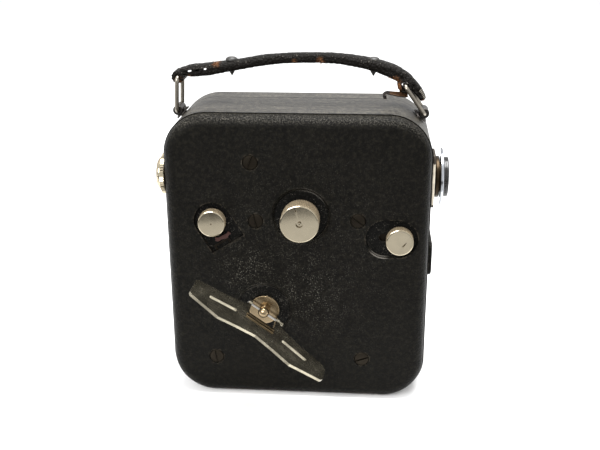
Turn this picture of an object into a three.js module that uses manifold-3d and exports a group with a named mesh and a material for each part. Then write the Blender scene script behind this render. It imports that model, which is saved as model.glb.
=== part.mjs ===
// Clockwork cine camera for narrow film in drop-in chargers.
// Millimetres, +Z up, origin at the middle of the base.
// -Y is the motor side with the key and knobs, +X the lens side, +Y the film side with its door.
import * as THREE from "three";
import { mergeVertices } from "three/addons/utils/BufferGeometryUtils.js";
import Module from "manifold-3d";

const wasm = await Module();
wasm.setup();

// ---------------------------------------------------------------- driving dimensions
const CASE = { width: 100, height: 115, corner: 16.5, wall: 2 };
const GAP = 0.3;
const HALF_GAP = GAP / 2;

// stations along Y, from the motor side to the film side
const Y = {
  coverFace: -22.5,
  coverInside: -20.9,
  recessFloor: -21,
  recessInside: -19.8,
  coverSeam: -18,
  plateFront: -18,
  plateBack: -16.8,
  partitionFront: 0,
  partitionBack: 1.8,
  doorSeam: 8.5,
  doorInside: 20.9,
  doorBack: 22.5,
};
const COVER = { inset: 0.4, edge: 4.3, wall: 1.8 };

// shafts of the movement, all parallel to Y
const BARREL = { x: -12.7, z: 37.7 };
const SECOND = { x: 9.53, z: 56.0 };
const DRIVE = { x: 1.8, z: 76.6 };
const THIRD = { x: 20.5, z: 72.3 };
const CRANK = { x: 39.6, z: 70.8 };

// tooth counts and modules of the train
const BARREL_GEAR = { teeth: 40, module: 1.2 };
const SECOND_PINION = { teeth: 8, module: 1.2 };
const SECOND_WHEEL = { teeth: 32, module: 1 };
const DRIVE_PINION = { teeth: 12, module: 1 };
const DRIVE_WHEEL = { teeth: 37, module: 0.8 };
const THIRD_PINION = { teeth: 11, module: 0.8 };
const THIRD_WHEEL = { teeth: 37, module: 0.8 };
const CRANK_PINION = { teeth: 11, module: 0.8 };

// layers of the movement along Y, as [front, back]
const LAYER = {
  ratchet: [-16.5, -15.5],
  mainspring: [-13.9, -7.3],
  barrelTeeth: [-7.4, -5.6],
  secondPinion: [-7.6, -4.8],
  secondWheel: [-2.6, -1.4],
  drivePinion: [-3.2, -0.9],
  driveWheel: [-5.4, -4.2],
  thirdPinion: [-5.8, -3.8],
  thirdWheel: [-9.2, -8],
  crankPinion: [-9.6, -7.2],
};
const PIVOT_FRONT = -17.9;
const PIVOT_BACK = 1.5;

// controls on the motor side
const DRIVE_KNOB = { radius: 7.2, face: -30.7, back: -22.9 };
const SMALL_KNOB = { radius: 5.1, face: -26, back: -21.6, stem: 1.5 };
const LOCK = { x: -31.6, z: 74.2, angle: -58, travel: 5 };
const RELEASE = { x: 38.7, z: 68.5, travel: 6 };
const SLIDE = { front: -19.5, back: -18.3 };
const LOCK_RECESS = { radius: 7.2, length: 11 };
const RELEASE_RECESS = { left: 33.4, right: 38.1, radius: 7.5 };
const RECESS_RIM = 1.2;
const SCREWS = {
  cover_screw_top: { x: -16.9, z: 97.3, slot: 70 },
  cover_screw_middle_left: { x: -15.3, z: 74.5, slot: -75 },
  cover_screw_middle_right: { x: 23.1, z: 75.4, slot: -36 },
  cover_screw_low_left: { x: -32.1, z: 16.9, slot: -80 },
  cover_screw_low_right: { x: 25.5, z: 17.8, slot: 20 },
};
const SCREW = { head: 2.85, shank: 1.25, top: -22.6, under: -21.7, end: -17, play: 0.15 };

// winding key: its cross pin lies this far round from +X, and its plate stands this far off the face
const KEY = { pinY: -24, turn: 35.5, stand: 83, thickness: 1.1, pin: 0.75 };

// lens and finder, both parallel to X
const LENS = { y: 8.5, z: 84 };
const FINDER = { y: -11, z: 89.3 };
const SIDE = CASE.width / 2;

// door hinge, a vertical pin beside the seam
const HINGE = { x: -51.9, y: 8.5, low: 28, high: 88, knuckle: 1.55, pin: 0.7 };

// handle
const LUG = { reach: 19.3, wireHole: 1.0, outer: 1.9, halfWidth: 3.6 };
const WIRE = { radius: 0.8, halfWidth: 5.2 };
const LEFT_LINK = { x: -46.9, z: 112.1, topX: -46.2, topZ: 125 };
const RIGHT_LINK = { x: 46.9, z: 112.1, topX: 39.4, topZ: 122.6 };
const EYE = { leftHole: 1.05, rightHole: 1.5, wall: 1.3, halfWidth: 4.2 };
const CUT_PAST = 1;

// ---------------------------------------------------------------- solids from geometry
function radians(degrees) {
  return (degrees * Math.PI) / 180;
}

// A closed solid from any closed three.js geometry, turned to face outwards.
function solid(geometry) {
  const bare = geometry.clone();
  bare.deleteAttribute("normal");
  bare.deleteAttribute("uv");
  const merged = mergeVertices(bare, 1e-4);
  const points = merged.attributes.position.array;
  const faces = [];
  let volume = 0;
  for (let i = 0; i < merged.index.count; i += 3) {
    const [a, b, c] = [0, 1, 2].map((k) => merged.index.array[i + k]);
    if (a === b || b === c || c === a) continue;
    faces.push(a, b, c);
    const [p, q, r] = [a, b, c].map((k) => new THREE.Vector3(...points.slice(3 * k, 3 * k + 3)));
    volume += p.dot(q.cross(r));
  }
  if (volume < 0) {
    for (let i = 0; i < faces.length; i += 3) {
      [faces[i], faces[i + 1]] = [faces[i + 1], faces[i]];
    }
  }
  return new wasm.Manifold(new wasm.Mesh({
    numProp: 3,
    vertProperties: new Float32Array(points),
    triVerts: new Uint32Array(faces),
  }));
}

// A shape drawn in X and Z, extruded along Y from y0 to y1.
function prismY(shape, y0, y1) {
  const geometry = new THREE.ExtrudeGeometry(shape, { depth: y1 - y0, bevelEnabled: false });
  geometry.rotateX(Math.PI / 2);
  geometry.translate(0, y1, 0);
  return solid(geometry);
}

function box(x0, x1, y0, y1, z0, z1) {
  const geometry = new THREE.BoxGeometry(x1 - x0, y1 - y0, z1 - z0);
  geometry.translate((x0 + x1) / 2, (y0 + y1) / 2, (z0 + z1) / 2);
  return solid(geometry);
}

// A turned piece: profile points are [radius, station along the axis].
function turnedY(profile, x, z, steps = 16) {
  const points = profile.map(([r, t]) => new THREE.Vector2(r, t));
  const geometry = new THREE.LatheGeometry(points, steps);
  geometry.translate(x, 0, z);
  return solid(geometry);
}

function turnedX(profile, y, z, steps = 20) {
  const points = profile.map(([r, t]) => new THREE.Vector2(r, t));
  const geometry = new THREE.LatheGeometry(points, steps);
  geometry.rotateZ(-Math.PI / 2);
  geometry.translate(0, y, z);
  return solid(geometry);
}

function turnedZ(profile, x, y, steps = 12) {
  const points = profile.map(([r, t]) => new THREE.Vector2(r, t));
  const geometry = new THREE.LatheGeometry(points, steps);
  geometry.rotateX(Math.PI / 2);
  geometry.translate(x, y, 0);
  return solid(geometry);
}

function rod(r, t0, t1) {
  return [[0, t0], [r, t0], [r, t1], [0, t1]];
}

// A ring profile that closes on itself.
function ring(inner, outer, t0, t1) {
  return [[inner, t0], [outer, t0], [outer, t1], [inner, t1], [inner, t0]];
}

// The points of a rounded rectangle, anticlockwise, as [x, z].
function roundedPoints(width, height, corner, steps) {
  const points = [];
  const quarters = [[1, 1, 0], [-1, 1, 90], [-1, -1, 180], [1, -1, 270]];
  for (const [sx, sz, start] of quarters) {
    for (let i = 0; i <= steps; i += 1) {
      const angle = radians(start + (90 * i) / steps);
      points.push([
        sx * (width / 2 - corner) + corner * Math.cos(angle),
        sz * (height / 2 - corner) + corner * Math.sin(angle),
      ]);
    }
  }
  return points;
}

function shapeOf(points) {
  return new THREE.Shape(points.map(([x, z]) => new THREE.Vector2(x, z)));
}

// The case outline, drawn in by an inset, centred on the case.
function outline(inset, steps = 5) {
  const middle = CASE.height / 2;
  return roundedPoints(
    CASE.width - 2 * inset,
    CASE.height - 2 * inset,
    CASE.corner - inset,
    steps,
  ).map(([x, z]) => [x, z + middle]);
}

// A closed skin through a stack of sections with equal point counts.
function skin(sections) {
  const count = sections[0].length;
  const positions = sections.flat(2);
  const faces = [];
  for (let s = 0; s + 1 < sections.length; s += 1) {
    for (let i = 0; i < count; i += 1) {
      const a = s * count + i;
      const b = s * count + ((i + 1) % count);
      faces.push(a, b, a + count, b, b + count, a + count);
    }
  }
  const last = (sections.length - 1) * count;
  for (let i = 1; i + 1 < count; i += 1) {
    faces.push(0, i + 1, i, last, last + i, last + i + 1);
  }
  const geometry = new THREE.BufferGeometry();
  geometry.setAttribute("position", new THREE.Float32BufferAttribute(positions, 3));
  geometry.setIndex(faces);
  return solid(geometry);
}

// A lid of the case outline: flat at the seam and rounded over at its outer face.
function lid(seam, face, inset, edge, steps = 3) {
  const direction = Math.sign(face - seam);
  const sections = [outline(inset).map(([x, z]) => [x, seam, z])];
  for (let i = 0; i <= steps; i += 1) {
    const angle = (Math.PI / 2) * (i / steps);
    const drawn = inset + edge * (1 - Math.cos(angle));
    const y = face - direction * edge * (1 - Math.sin(angle));
    sections.push(outline(drawn).map(([x, z]) => [x, y, z]));
  }
  return skin(sections);
}

// A round wire bent round a closed loop of points; `normal` is the loop's plane.
function wireLoop(points, normal, radius, sides = 6) {
  const sections = points.map((point, i) => {
    const before = points[(i + points.length - 1) % points.length];
    const after = points[(i + 1) % points.length];
    const tangent = after.clone().sub(before).normalize();
    const across = tangent.clone().cross(normal).normalize();
    return Array.from({ length: sides }, (_, k) => {
      const angle = (2 * Math.PI * k) / sides;
      return point.clone()
        .addScaledVector(across, radius * Math.cos(angle))
        .addScaledVector(normal, radius * Math.sin(angle))
        .toArray();
    });
  });
  const faces = [];
  for (let s = 0; s < sections.length; s += 1) {
    const next = (s + 1) % sections.length;
    for (let k = 0; k < sides; k += 1) {
      const a = s * sides + k;
      const b = s * sides + ((k + 1) % sides);
      const c = next * sides + k;
      const d = next * sides + ((k + 1) % sides);
      faces.push(a, b, c, b, d, c);
    }
  }
  const geometry = new THREE.BufferGeometry();
  geometry.setAttribute("position", new THREE.Float32BufferAttribute(sections.flat(2), 3));
  geometry.setIndex(faces);
  return solid(geometry);
}

// ---------------------------------------------------------------- gears
// A gear outline about a shaft; `phase` is the direction of one tooth's middle, in radians.
function gearShape(gear, shaft, phase) {
  const pitch = (gear.module * gear.teeth) / 2;
  const root = pitch - 1.15 * gear.module;
  const tip = pitch + 0.7 * gear.module;
  const step = (2 * Math.PI) / gear.teeth;
  const points = [];
  for (let i = 0; i < gear.teeth; i += 1) {
    const middle = phase + i * step;
    for (const [r, share] of [[root, -0.27], [tip, -0.1], [tip, 0.1], [root, 0.27]]) {
      const angle = middle + share * step;
      points.push([shaft.x + r * Math.cos(angle), shaft.z + r * Math.sin(angle)]);
    }
  }
  return shapeOf(points);
}

function gearPrism(gear, shaft, phase, y0, y1) {
  return prismY(gearShape(gear, shaft, phase), y0, y1);
}

// The phase that puts a gap of the second gear round a tooth of the first.
function meshPhase(first, firstShaft, firstPhase, second, secondShaft) {
  const line = Math.atan2(secondShaft.z - firstShaft.z, secondShaft.x - firstShaft.x);
  const firstStep = (2 * Math.PI) / first.teeth;
  const secondStep = (2 * Math.PI) / second.teeth;
  const offset = (firstPhase - line) / firstStep;
  return line + Math.PI + (0.5 - offset) * secondStep;
}

const barrelPhase = 0;
const secondPhase = meshPhase(BARREL_GEAR, BARREL, barrelPhase, SECOND_PINION, SECOND);
const drivePhase = meshPhase(SECOND_WHEEL, SECOND, secondPhase, DRIVE_PINION, DRIVE);
const thirdPhase = meshPhase(DRIVE_WHEEL, DRIVE, drivePhase, THIRD_PINION, THIRD);
const crankPhase = meshPhase(THIRD_WHEEL, THIRD, thirdPhase, CRANK_PINION, CRANK);

// ---------------------------------------------------------------- case
const PILLARS = [[-38, 96], [36, 98], [-37, 13.5], [36, 14]];
const DISHED = { lip: 11.3, floor: 10.2, depth: 0.6 };
const KEY_HUB_RADIUS = 5.9;
const SHAFT = { arbor: 3, arborRear: 2, second: 1, drive: 1.6, third: 1, crank: 1.4, play: 0.1 };
const CLAW_POST = { x: CRANK.x, z: 54.6, radius: 0.9, end: 6 };
const BUSH = { y: -9, sleeve: 5.2, flange: 8.2, bore: 4.2 };
const LENS_SEAT_HOLE = 6.6;
const FINDER_HOLE = 5.2;
const LUG_HOLE = 1.7;
const LENS_WALL = { low: 70, high: 98, back: 20.3, inside: 46.3 };

function shaftHole(shaft, radius, y0, y1) {
  return turnedY(rod(radius + SHAFT.play, y0, y1), shaft.x, shaft.z, 12);
}

// a hole through the case's rounded corner, square to it
function lugStem(side, radius) {
  const stem = turnedZ(rod(radius, 12, LUG.reach - 1.1), 0, 0, 12);
  return stem
    .rotate([0, side * 45, 0])
    .translate([side * (SIDE - CASE.corner), 0, CASE.height - CASE.corner]);
}

function lensWall(inset) {
  const block = box(
    LENS_WALL.inside - inset, SIDE + 1,
    Y.doorSeam - 0.5, LENS_WALL.back + inset,
    LENS_WALL.low - inset, LENS_WALL.high + inset,
  );
  return block.intersect(lid(Y.doorSeam - 0.6, Y.doorBack, 0, COVER.edge));
}

function mainCase() {
  const inside = shapeOf(outline(CASE.wall));
  const wallCut = [SIDE - 10, SIDE + 2];
  const partitionCut = [Y.partitionFront - CUT_PAST, Y.partitionBack + CUT_PAST];
  let body = prismY(shapeOf(outline(0)), Y.coverSeam + HALF_GAP, Y.doorSeam - HALF_GAP)
    .subtract(prismY(inside, Y.coverSeam - 1, Y.partitionFront))
    .subtract(prismY(inside, Y.partitionBack, Y.doorSeam + 1))
    .add(lensWall(0))
    .add(turnedY(
      rod(CLAW_POST.radius, Y.partitionFront, CLAW_POST.end),
      CLAW_POST.x,
      CLAW_POST.z,
      12,
    ));
  const cuts = [
    turnedX(rod(LENS_SEAT_HOLE, ...wallCut), LENS.y, LENS.z),
    turnedX(rod(FINDER_HOLE, -wallCut[1], -wallCut[0]), FINDER.y, FINDER.z, 16),
    turnedX(rod(FINDER_HOLE, ...wallCut), FINDER.y, FINDER.z, 16),
    turnedZ(rod(BUSH.sleeve, -CUT_PAST, 2 * CASE.wall), 0, BUSH.y, 16),
    shaftHole(BARREL, SHAFT.arborRear, ...partitionCut),
    shaftHole(SECOND, SHAFT.second, ...partitionCut),
    shaftHole(DRIVE, SHAFT.drive, ...partitionCut),
    shaftHole(THIRD, SHAFT.third, ...partitionCut),
    shaftHole(CRANK, SHAFT.crank, ...partitionCut),
    lugStem(-1, LUG_HOLE),
    lugStem(1, LUG_HOLE),
  ];
  for (const cut of cuts) body = body.subtract(cut);
  return body;
}

// the arch-shaped recess under the lock knob: round at its top, square at its foot
function archShape(radius, length) {
  const points = [];
  for (let i = 0; i <= 8; i += 1) {
    const angle = radians(LOCK.angle + 90 + 22.5 * i);
    points.push([LOCK.x + radius * Math.cos(angle), LOCK.z + radius * Math.sin(angle)]);
  }
  const along = [Math.cos(radians(LOCK.angle)), Math.sin(radians(LOCK.angle))];
  const [lastX, lastZ] = points[points.length - 1];
  const [firstX, firstZ] = points[0];
  points.push([lastX + length * along[0], lastZ + length * along[1]]);
  points.push([firstX + length * along[0], firstZ + length * along[1]]);
  return shapeOf(points);
}

// a slot with round ends from (x0, z0) to (x1, z1)
function slotShape(x0, z0, x1, z1, radius, steps = 6) {
  const direction = Math.atan2(z1 - z0, x1 - x0);
  const points = [];
  for (const [x, z, start] of [[x0, z0, direction + Math.PI / 2], [x1, z1, direction - Math.PI / 2]]) {
    for (let i = 0; i <= steps; i += 1) {
      const angle = start + (Math.PI * i) / steps;
      points.push([x + radius * Math.cos(angle), z + radius * Math.sin(angle)]);
    }
  }
  return shapeOf(points);
}

function dishedCut(shaft) {
  const front = Y.coverFace - 0.5;
  const { lip, floor, depth } = DISHED;
  return turnedY(
    [[0, front], [lip, front], [lip, Y.coverFace], [floor, Y.coverFace + depth],
      [floor, Y.recessFloor], [0, Y.recessFloor]],
    shaft.x,
    shaft.z,
    24,
  );
}

function lockEnd() {
  return {
    x: LOCK.x + LOCK.travel * Math.cos(radians(LOCK.angle)),
    z: LOCK.z + LOCK.travel * Math.sin(radians(LOCK.angle)),
  };
}

// the release knob's recess, drawn wider by a rim
function releaseRecessShape(rim) {
  const { left, right, radius } = RELEASE_RECESS;
  return slotShape(left, RELEASE.z, right, RELEASE.z, radius + rim);
}

function motorCover() {
  const front = Y.coverFace - 0.5;
  const pad = [Y.coverInside - CUT_PAST, Y.recessInside];
  const { radius: lockRadius, length: lockLength } = LOCK_RECESS;
  const pads = [
    turnedY(rod(DISHED.lip + RECESS_RIM, ...pad), DRIVE.x, DRIVE.z, 24),
    turnedY(rod(DISHED.lip + RECESS_RIM, ...pad), BARREL.x, BARREL.z, 24),
    prismY(archShape(lockRadius + RECESS_RIM, lockLength + RECESS_RIM), ...pad),
    prismY(releaseRecessShape(RECESS_RIM), ...pad),
  ];
  let body = lid(Y.coverSeam - HALF_GAP, Y.coverFace, COVER.inset, COVER.edge)
    .subtract(lid(Y.coverSeam + 1, Y.coverInside, COVER.inset + COVER.wall, COVER.edge - COVER.wall));
  for (const piece of pads) body = body.add(piece);
  const end = lockEnd();
  const stem = SMALL_KNOB.stem + 0.2;
  const cuts = [
    dishedCut(DRIVE),
    dishedCut(BARREL),
    prismY(archShape(lockRadius, lockLength), front, Y.recessFloor),
    prismY(releaseRecessShape(0), front, Y.recessFloor),
    prismY(slotShape(LOCK.x, LOCK.z, end.x, end.z, stem), front, Y.plateFront),
    prismY(slotShape(RELEASE.x - RELEASE.travel, RELEASE.z, RELEASE.x, RELEASE.z, stem),
      front, Y.plateFront),
    turnedY(rod(SHAFT.drive + 0.6, front, Y.plateFront), DRIVE.x, DRIVE.z, 20),
    turnedY(rod(SHAFT.arbor + GAP, front, Y.plateFront), BARREL.x, BARREL.z, 24),
  ];
  for (const { x, z } of Object.values(SCREWS)) {
    cuts.push(turnedY(rod(SCREW.head + SCREW.play, front, SCREW.under + 0.1), x, z, 12));
    cuts.push(turnedY(rod(SCREW.shank + SCREW.play, front, Y.plateFront), x, z, 8));
  }
  for (const cut of cuts) body = body.subtract(cut);
  return body;
}

function coverScrew({ x, z, slot }) {
  const { head, shank, top, under, end } = SCREW;
  const body = turnedY([[0, top], [head - 0.3, top], [head, top + 0.3], [head, under],
    [shank, under], [shank, end], [0, end]], x, z, 12);
  const groove = box(-head - CUT_PAST, head + CUT_PAST, top - CUT_PAST, top + 0.45, -0.35, 0.35)
    .rotate([0, -slot, 0])
    .translate([x, 0, z]);
  return body.subtract(groove);
}

function tripodBush() {
  const { sleeve, flange, bore } = BUSH;
  const base = 0.2;
  return turnedZ([[bore, base], [sleeve - 0.1, base], [sleeve - 0.1, 2.3], [flange, 2.3],
    [flange, 3.8], [sleeve, 3.8], [sleeve, 8], [bore, 8], [bore, base]], 0, BUSH.y, 16);
}

function filmDoor() {
  return lid(Y.doorSeam + HALF_GAP, Y.doorBack, 0, COVER.edge)
    .subtract(lid(Y.doorSeam - 1, Y.doorInside, COVER.wall, COVER.edge - COVER.wall))
    .subtract(box(
      LENS_WALL.inside - 1, SIDE + 1,
      Y.doorSeam - 0.5, LENS_WALL.back + GAP,
      LENS_WALL.low - GAP, LENS_WALL.high + GAP,
    ));
}

// one leaf of the door hinge with its knuckles at the stated heights
function hingeLeaf(y0, y1, z0, z1, knuckles, relief) {
  const leaf = { inside: -SIDE - GAP, outside: -SIDE - 1.1 };
  let body = box(leaf.outside, leaf.inside, y0, y1, z0, z1);
  for (const [low, high] of relief) {
    body = body.subtract(turnedZ(rod(HINGE.knuckle + 0.25, low, high), HINGE.x, HINGE.y, 16));
  }
  for (const [low, high] of knuckles) {
    body = body.add(turnedZ(rod(HINGE.knuckle, low, high), HINGE.x, HINGE.y, 16));
  }
  return body.subtract(turnedZ(rod(HINGE.pin + 0.08, z0 - 2, z1 + 2), HINGE.x, HINGE.y, 16));
}

function hingeCaseLeaf() {
  const { low, high, y } = HINGE;
  const third = (high - low) / 3;
  const outer = [[low, low + third], [high - third, high]];
  const relief = [[low + third - 0.2, high - third + 0.2]];
  return hingeLeaf(y - 9, y - 0.2, low, high, outer, relief);
}

function hingeDoorLeaf() {
  const { low, high, y } = HINGE;
  const third = (high - low) / 3;
  const middle = [[low + third + 0.2, high - third - 0.2]];
  const relief = [[low - 1, low + third + 0.2], [high - third - 0.2, high + 1]];
  return hingeLeaf(y + 0.2, y + 8.5, low, high, middle, relief);
}

function hingePin() {
  const { low, high, pin } = HINGE;
  return turnedZ([[0, low - 1.3], [1.2, low - 1.3], [1.2, low - 0.3], [pin, low - 0.3],
    [pin, high + 0.6], [0, high + 0.6]], HINGE.x, HINGE.y, 12);
}

function doorCatch() {
  const [near, far, low, high] = [-12, 14, 49.5, 63];
  const shape = roundedPoints(far - near, high - low, 2.5, 4);
  const section = (x, shrink) => shape.map(([u, v]) => [
    x,
    (near + far) / 2 + u * (1 - shrink / (far - near)),
    (low + high) / 2 + v * (1 - shrink / (high - low)),
  ]);
  return skin([section(SIDE + GAP, 0), section(SIDE + 1.4, 0), section(SIDE + 1.8, 0.9)]);
}

// ---------------------------------------------------------------- lens and finder
// all stations below are measured out from the side wall
function lensProfile(points) {
  return points.map(([r, t]) => [r, SIDE + t]);
}

function lensFlange() {
  return turnedX(lensProfile([[6.15, -3.5], [6.45, -3.5], [6.45, GAP], [9.25, GAP], [9.25, 2.1],
    [8.8, 2.5], [6.15, 2.5], [6.15, -3.5]]), LENS.y, LENS.z, 20);
}

function lensBarrel() {
  return turnedX(lensProfile([[4.5, -4.1], [6, -4.1], [6, 2.8], [8.1, 2.8], [8.1, 4.2],
    [6, 4.2], [6, 6.9], [4.5, 6.9], [4.5, -4.1]]), LENS.y, LENS.z, 20);
}

// the large ring that sets the stop
function apertureRing() {
  return turnedX(lensProfile([[6.15, 4.5], [11.2, 4.5], [11.5, 4.8], [11.5, 5.3], [11.2, 5.6],
    [6.15, 5.6], [6.15, 4.5]]), LENS.y, LENS.z, 28);
}

function lensFrontRing() {
  return turnedX(lensProfile([[6.15, 5.9], [8, 5.9], [8, 7.5], [7.5, 7.9], [4, 7.9], [3.6, 7.5],
    [3.6, 7.1], [6.15, 7.1], [6.15, 5.9]]), LENS.y, LENS.z, 20);
}

function glassX(radius, back, front, bulgeBack, bulgeFront, y, z, steps = 16) {
  const profile = [[0, back - bulgeBack], [radius * 0.55, back - bulgeBack * 0.7], [radius, back],
    [radius, front], [radius * 0.55, front + bulgeFront * 0.7], [0, front + bulgeFront]];
  return turnedX(profile, y, z, steps);
}

function finderEyepiece() {
  const face = -SIDE;
  return turnedX([[3.4, face - 4], [5.2, face - 3.7], [6.3, face - 2.8], [6.3, face - 2],
    [8, face - 2], [8, face - GAP], [5, face - GAP], [5, face + 6], [4.3, face + 6],
    [4.3, face - 2.6], [3.4, face - 2.6], [3.4, face - 4]], FINDER.y, FINDER.z, 20);
}

function finderFrontFrame() {
  const outer = { y: 11, z: 21 };
  const frame = roundedPoints(outer.y, outer.z, 2, 4);
  const at = (x) => frame.map(([u, v]) => [x, FINDER.y + u, FINDER.z + v]);
  const tube = turnedX(rod(5, SIDE - 6, SIDE + 0.6), FINDER.y, FINDER.z, 16);
  const bore = turnedX(rod(4.3, SIDE - 7, SIDE + 2), FINDER.y, FINDER.z, 16);
  return skin([at(SIDE + GAP), at(SIDE + 1.1)]).add(tube).subtract(bore);
}

// ---------------------------------------------------------------- movement
const PLATE = { width: 88, height: 96, corner: 9, x: -0.5, z: 57.5, pillar: 2.4 };

function movementPlate() {
  const { width, height, corner } = PLATE;
  const shape = shapeOf(roundedPoints(width, height, corner, 4).map(([x, z]) => [
    x + PLATE.x,
    z + PLATE.z,
  ]));
  let body = prismY(shape, Y.plateFront, Y.plateBack);
  for (const [x, z] of PILLARS) {
    body = body.add(turnedY(rod(PLATE.pillar, Y.plateFront, Y.partitionFront - GAP), x, z, 8));
  }
  const front = Y.plateFront - CUT_PAST;
  const back = Y.plateBack + CUT_PAST;
  const cuts = [
    shaftHole(BARREL, SHAFT.arbor, front, back),
    shaftHole(SECOND, SHAFT.second, front, back),
    shaftHole(DRIVE, SHAFT.drive, front, back),
    shaftHole(THIRD, SHAFT.third, front, back),
    shaftHole(CRANK, SHAFT.second, front, back),
    box(31.6, 41.4, front, back, 61.4, 63.9),
  ];
  for (const { x, z } of Object.values(SCREWS)) {
    cuts.push(turnedY(rod(SCREW.shank + SCREW.play, front, back), x, z, 8));
  }
  for (const cut of cuts) body = body.subtract(cut);
  return body;
}

function windingArbor() {
  const hubFace = -22;
  const centre = KEY.pinY;
  const profile = [[0, centre - 2.2], [1.1, centre - 1.9], [1.9, centre - 1.1], [2.2, centre],
    [1.9, centre + 1.1], [1.5, hubFace - 0.3], [1.7, hubFace], [KEY_HUB_RADIUS - 0.3, hubFace],
    [KEY_HUB_RADIUS, hubFace + 0.25], [KEY_HUB_RADIUS, Y.recessFloor - GAP],
    [SHAFT.arbor, Y.recessFloor - GAP], [SHAFT.arbor, -5], [SHAFT.arborRear, -5],
    [SHAFT.arborRear, PIVOT_BACK], [0, PIVOT_BACK]];
  const body = turnedY(profile, BARREL.x, BARREL.z, 20);
  const slot = box(-8, 8, hubFace - 0.1, hubFace + 0.35, -0.5, 0.5)
    .subtract(box(-2.4, 2.4, hubFace - 1, hubFace + 1, -1, 1));
  const hole = turnedX(rod(KEY.pin + 0.08, -4, 4), KEY.pinY, 0, 12);
  const place = (piece, turn) => piece.rotate([0, turn, 0]).translate([BARREL.x, 0, BARREL.z]);
  return body.subtract(place(slot, KEY.turn + 12)).subtract(place(hole, KEY.turn));
}

function keyPin() {
  return turnedX(rod(KEY.pin, -5.6, 5.6), KEY.pinY, 0, 12)
    .rotate([0, KEY.turn, 0])
    .translate([BARREL.x, 0, BARREL.z]);
}

// The folding plate, drawn flat: s runs along the pin and t away from it.
function windingKey() {
  const half = KEY.thickness / 2;
  const right = [[2.7, -1.5], [5.2, -1.5], [5.3, 1.2], [12.7, 4.6], [18.4, 7.2], [28.4, 9.2],
    [29.6, 10.6], [29.5, 16.9], [28.4, 18.1], [16, 20.6], [8, 18.6]];
  const left = right.slice().reverse().map(([s, t]) => [-s, t]);
  const rim = [...right, [0, 17.2], ...left];
  const windowEdge = [[-2.7, 6.2], [2.7, 6.2]];
  const plate = prismY(shapeOf([...rim, windowEdge[0], windowEdge[1]]), -half, half);
  const slit = (side) => prismY(slotShape(side * 11.2, 10.9, side * 24.6, 13.3, 0.85, 5), -2, 2);
  const boss = (side) => turnedX(rod(1.6, side > 0 ? 2.7 : -5.3, side > 0 ? 5.3 : -2.7), 0, 0, 12);
  const bore = turnedX(rod(KEY.pin + 0.08, -9, 9), 0, 0, 12);
  return plate
    .add(boss(1))
    .add(boss(-1))
    .subtract(slit(1))
    .subtract(slit(-1))
    .subtract(bore)
    .rotate([180 - KEY.stand, 0, 0])
    .rotate([0, KEY.turn, 0])
    .translate([BARREL.x, KEY.pinY, BARREL.z]);
}

function ratchetWheel() {
  const teeth = 14;
  const points = [];
  for (let i = 0; i < teeth; i += 1) {
    for (const [share, r] of [[0, 5.6], [0.9, 7.0]]) {
      const angle = (2 * Math.PI * (i + share)) / teeth;
      points.push([BARREL.x + r * Math.cos(angle), BARREL.z + r * Math.sin(angle)]);
    }
  }
  return prismY(shapeOf(points), ...LAYER.ratchet)
    .subtract(turnedY(rod(SHAFT.arbor + 0.1, -18, -14), BARREL.x, BARREL.z, 24));
}

// the click's nose rests just off the ratchet's teeth
function click() {
  const shape = shapeOf([[-12, 50.4], [-9.6, 50.4], [-9.3, 48.2], [-11.8, 45.2], [-12.7, 45.2],
    [-13.2, 47.4]]);
  return prismY(shape, ...LAYER.ratchet);
}

function clickSpring() {
  const shape = shapeOf([[-8.9, 50.6], [-8.3, 50.6], [-6.2, 46.2], [-1.8, 44.2], [-1.8, 41.6],
    [-2.6, 41.6], [-2.6, 43.7], [-6.8, 45.7]]);
  return prismY(shape, ...LAYER.ratchet);
}

function springBarrel() {
  const drum = turnedY([[3.2, -5.6], [3.2, -6.8], [20.3, -6.8], [20.3, -15.2], [21.5, -15.2],
    [21.5, -5.6], [3.2, -5.6]], BARREL.x, BARREL.z, 24);
  const teeth = gearPrism(BARREL_GEAR, BARREL, barrelPhase, ...LAYER.barrelTeeth)
    .subtract(turnedY(rod(21, -9, -4), BARREL.x, BARREL.z, 24));
  return drum.add(teeth);
}

function mainspring() {
  const turns = 5;
  const steps = turns * 12;
  const [inner, outer, thickness] = [4.2, 19.2, 0.55];
  const points = [];
  const edge = (offset) => (i) => {
    const share = i / steps;
    const r = inner + (outer - inner) * share + offset;
    const angle = 2 * Math.PI * turns * share;
    return [BARREL.x + r * Math.cos(angle), BARREL.z + r * Math.sin(angle)];
  };
  for (let i = 0; i <= steps; i += 1) points.push(edge(0)(i));
  for (let i = steps; i >= 0; i -= 1) points.push(edge(thickness)(i));
  return prismY(shapeOf(points), ...LAYER.mainspring);
}

// the second shaft runs on into the film chamber and turns the take-up core
function secondPinion() {
  const { second } = SHAFT;
  const takeUpEnd = 4.5;
  return gearPrism(SECOND_PINION, SECOND, secondPhase, ...LAYER.secondPinion)
    .add(turnedY(rod(second, PIVOT_FRONT, takeUpEnd), SECOND.x, SECOND.z, 16))
    .add(turnedY(rod(1.9, -5, -1.2), SECOND.x, SECOND.z, 20));
}

function wheel(gear, shaft, phase, bore, [y0, y1]) {
  return gearPrism(gear, shaft, phase, y0, y1)
    .subtract(turnedY(rod(bore, y0 - CUT_PAST, y1 + CUT_PAST), shaft.x, shaft.z, 12));
}

function driveShaft() {
  const insideKnob = DRIVE_KNOB.face + 1.8;
  return turnedY(rod(SHAFT.drive, insideKnob, PIVOT_BACK), DRIVE.x, DRIVE.z, 20)
    .add(gearPrism(DRIVE_PINION, DRIVE, drivePhase, ...LAYER.drivePinion))
    .add(turnedY(rod(2.4, -6, -3.1), DRIVE.x, DRIVE.z, 20));
}

// a turned knob with a bevelled face
function turnedKnob(x, z, radius, face, back) {
  return turnedY([[0, face], [radius - 0.8, face], [radius, face + 0.7], [radius, back],
    [0, back]], x, z, 24);
}

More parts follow.
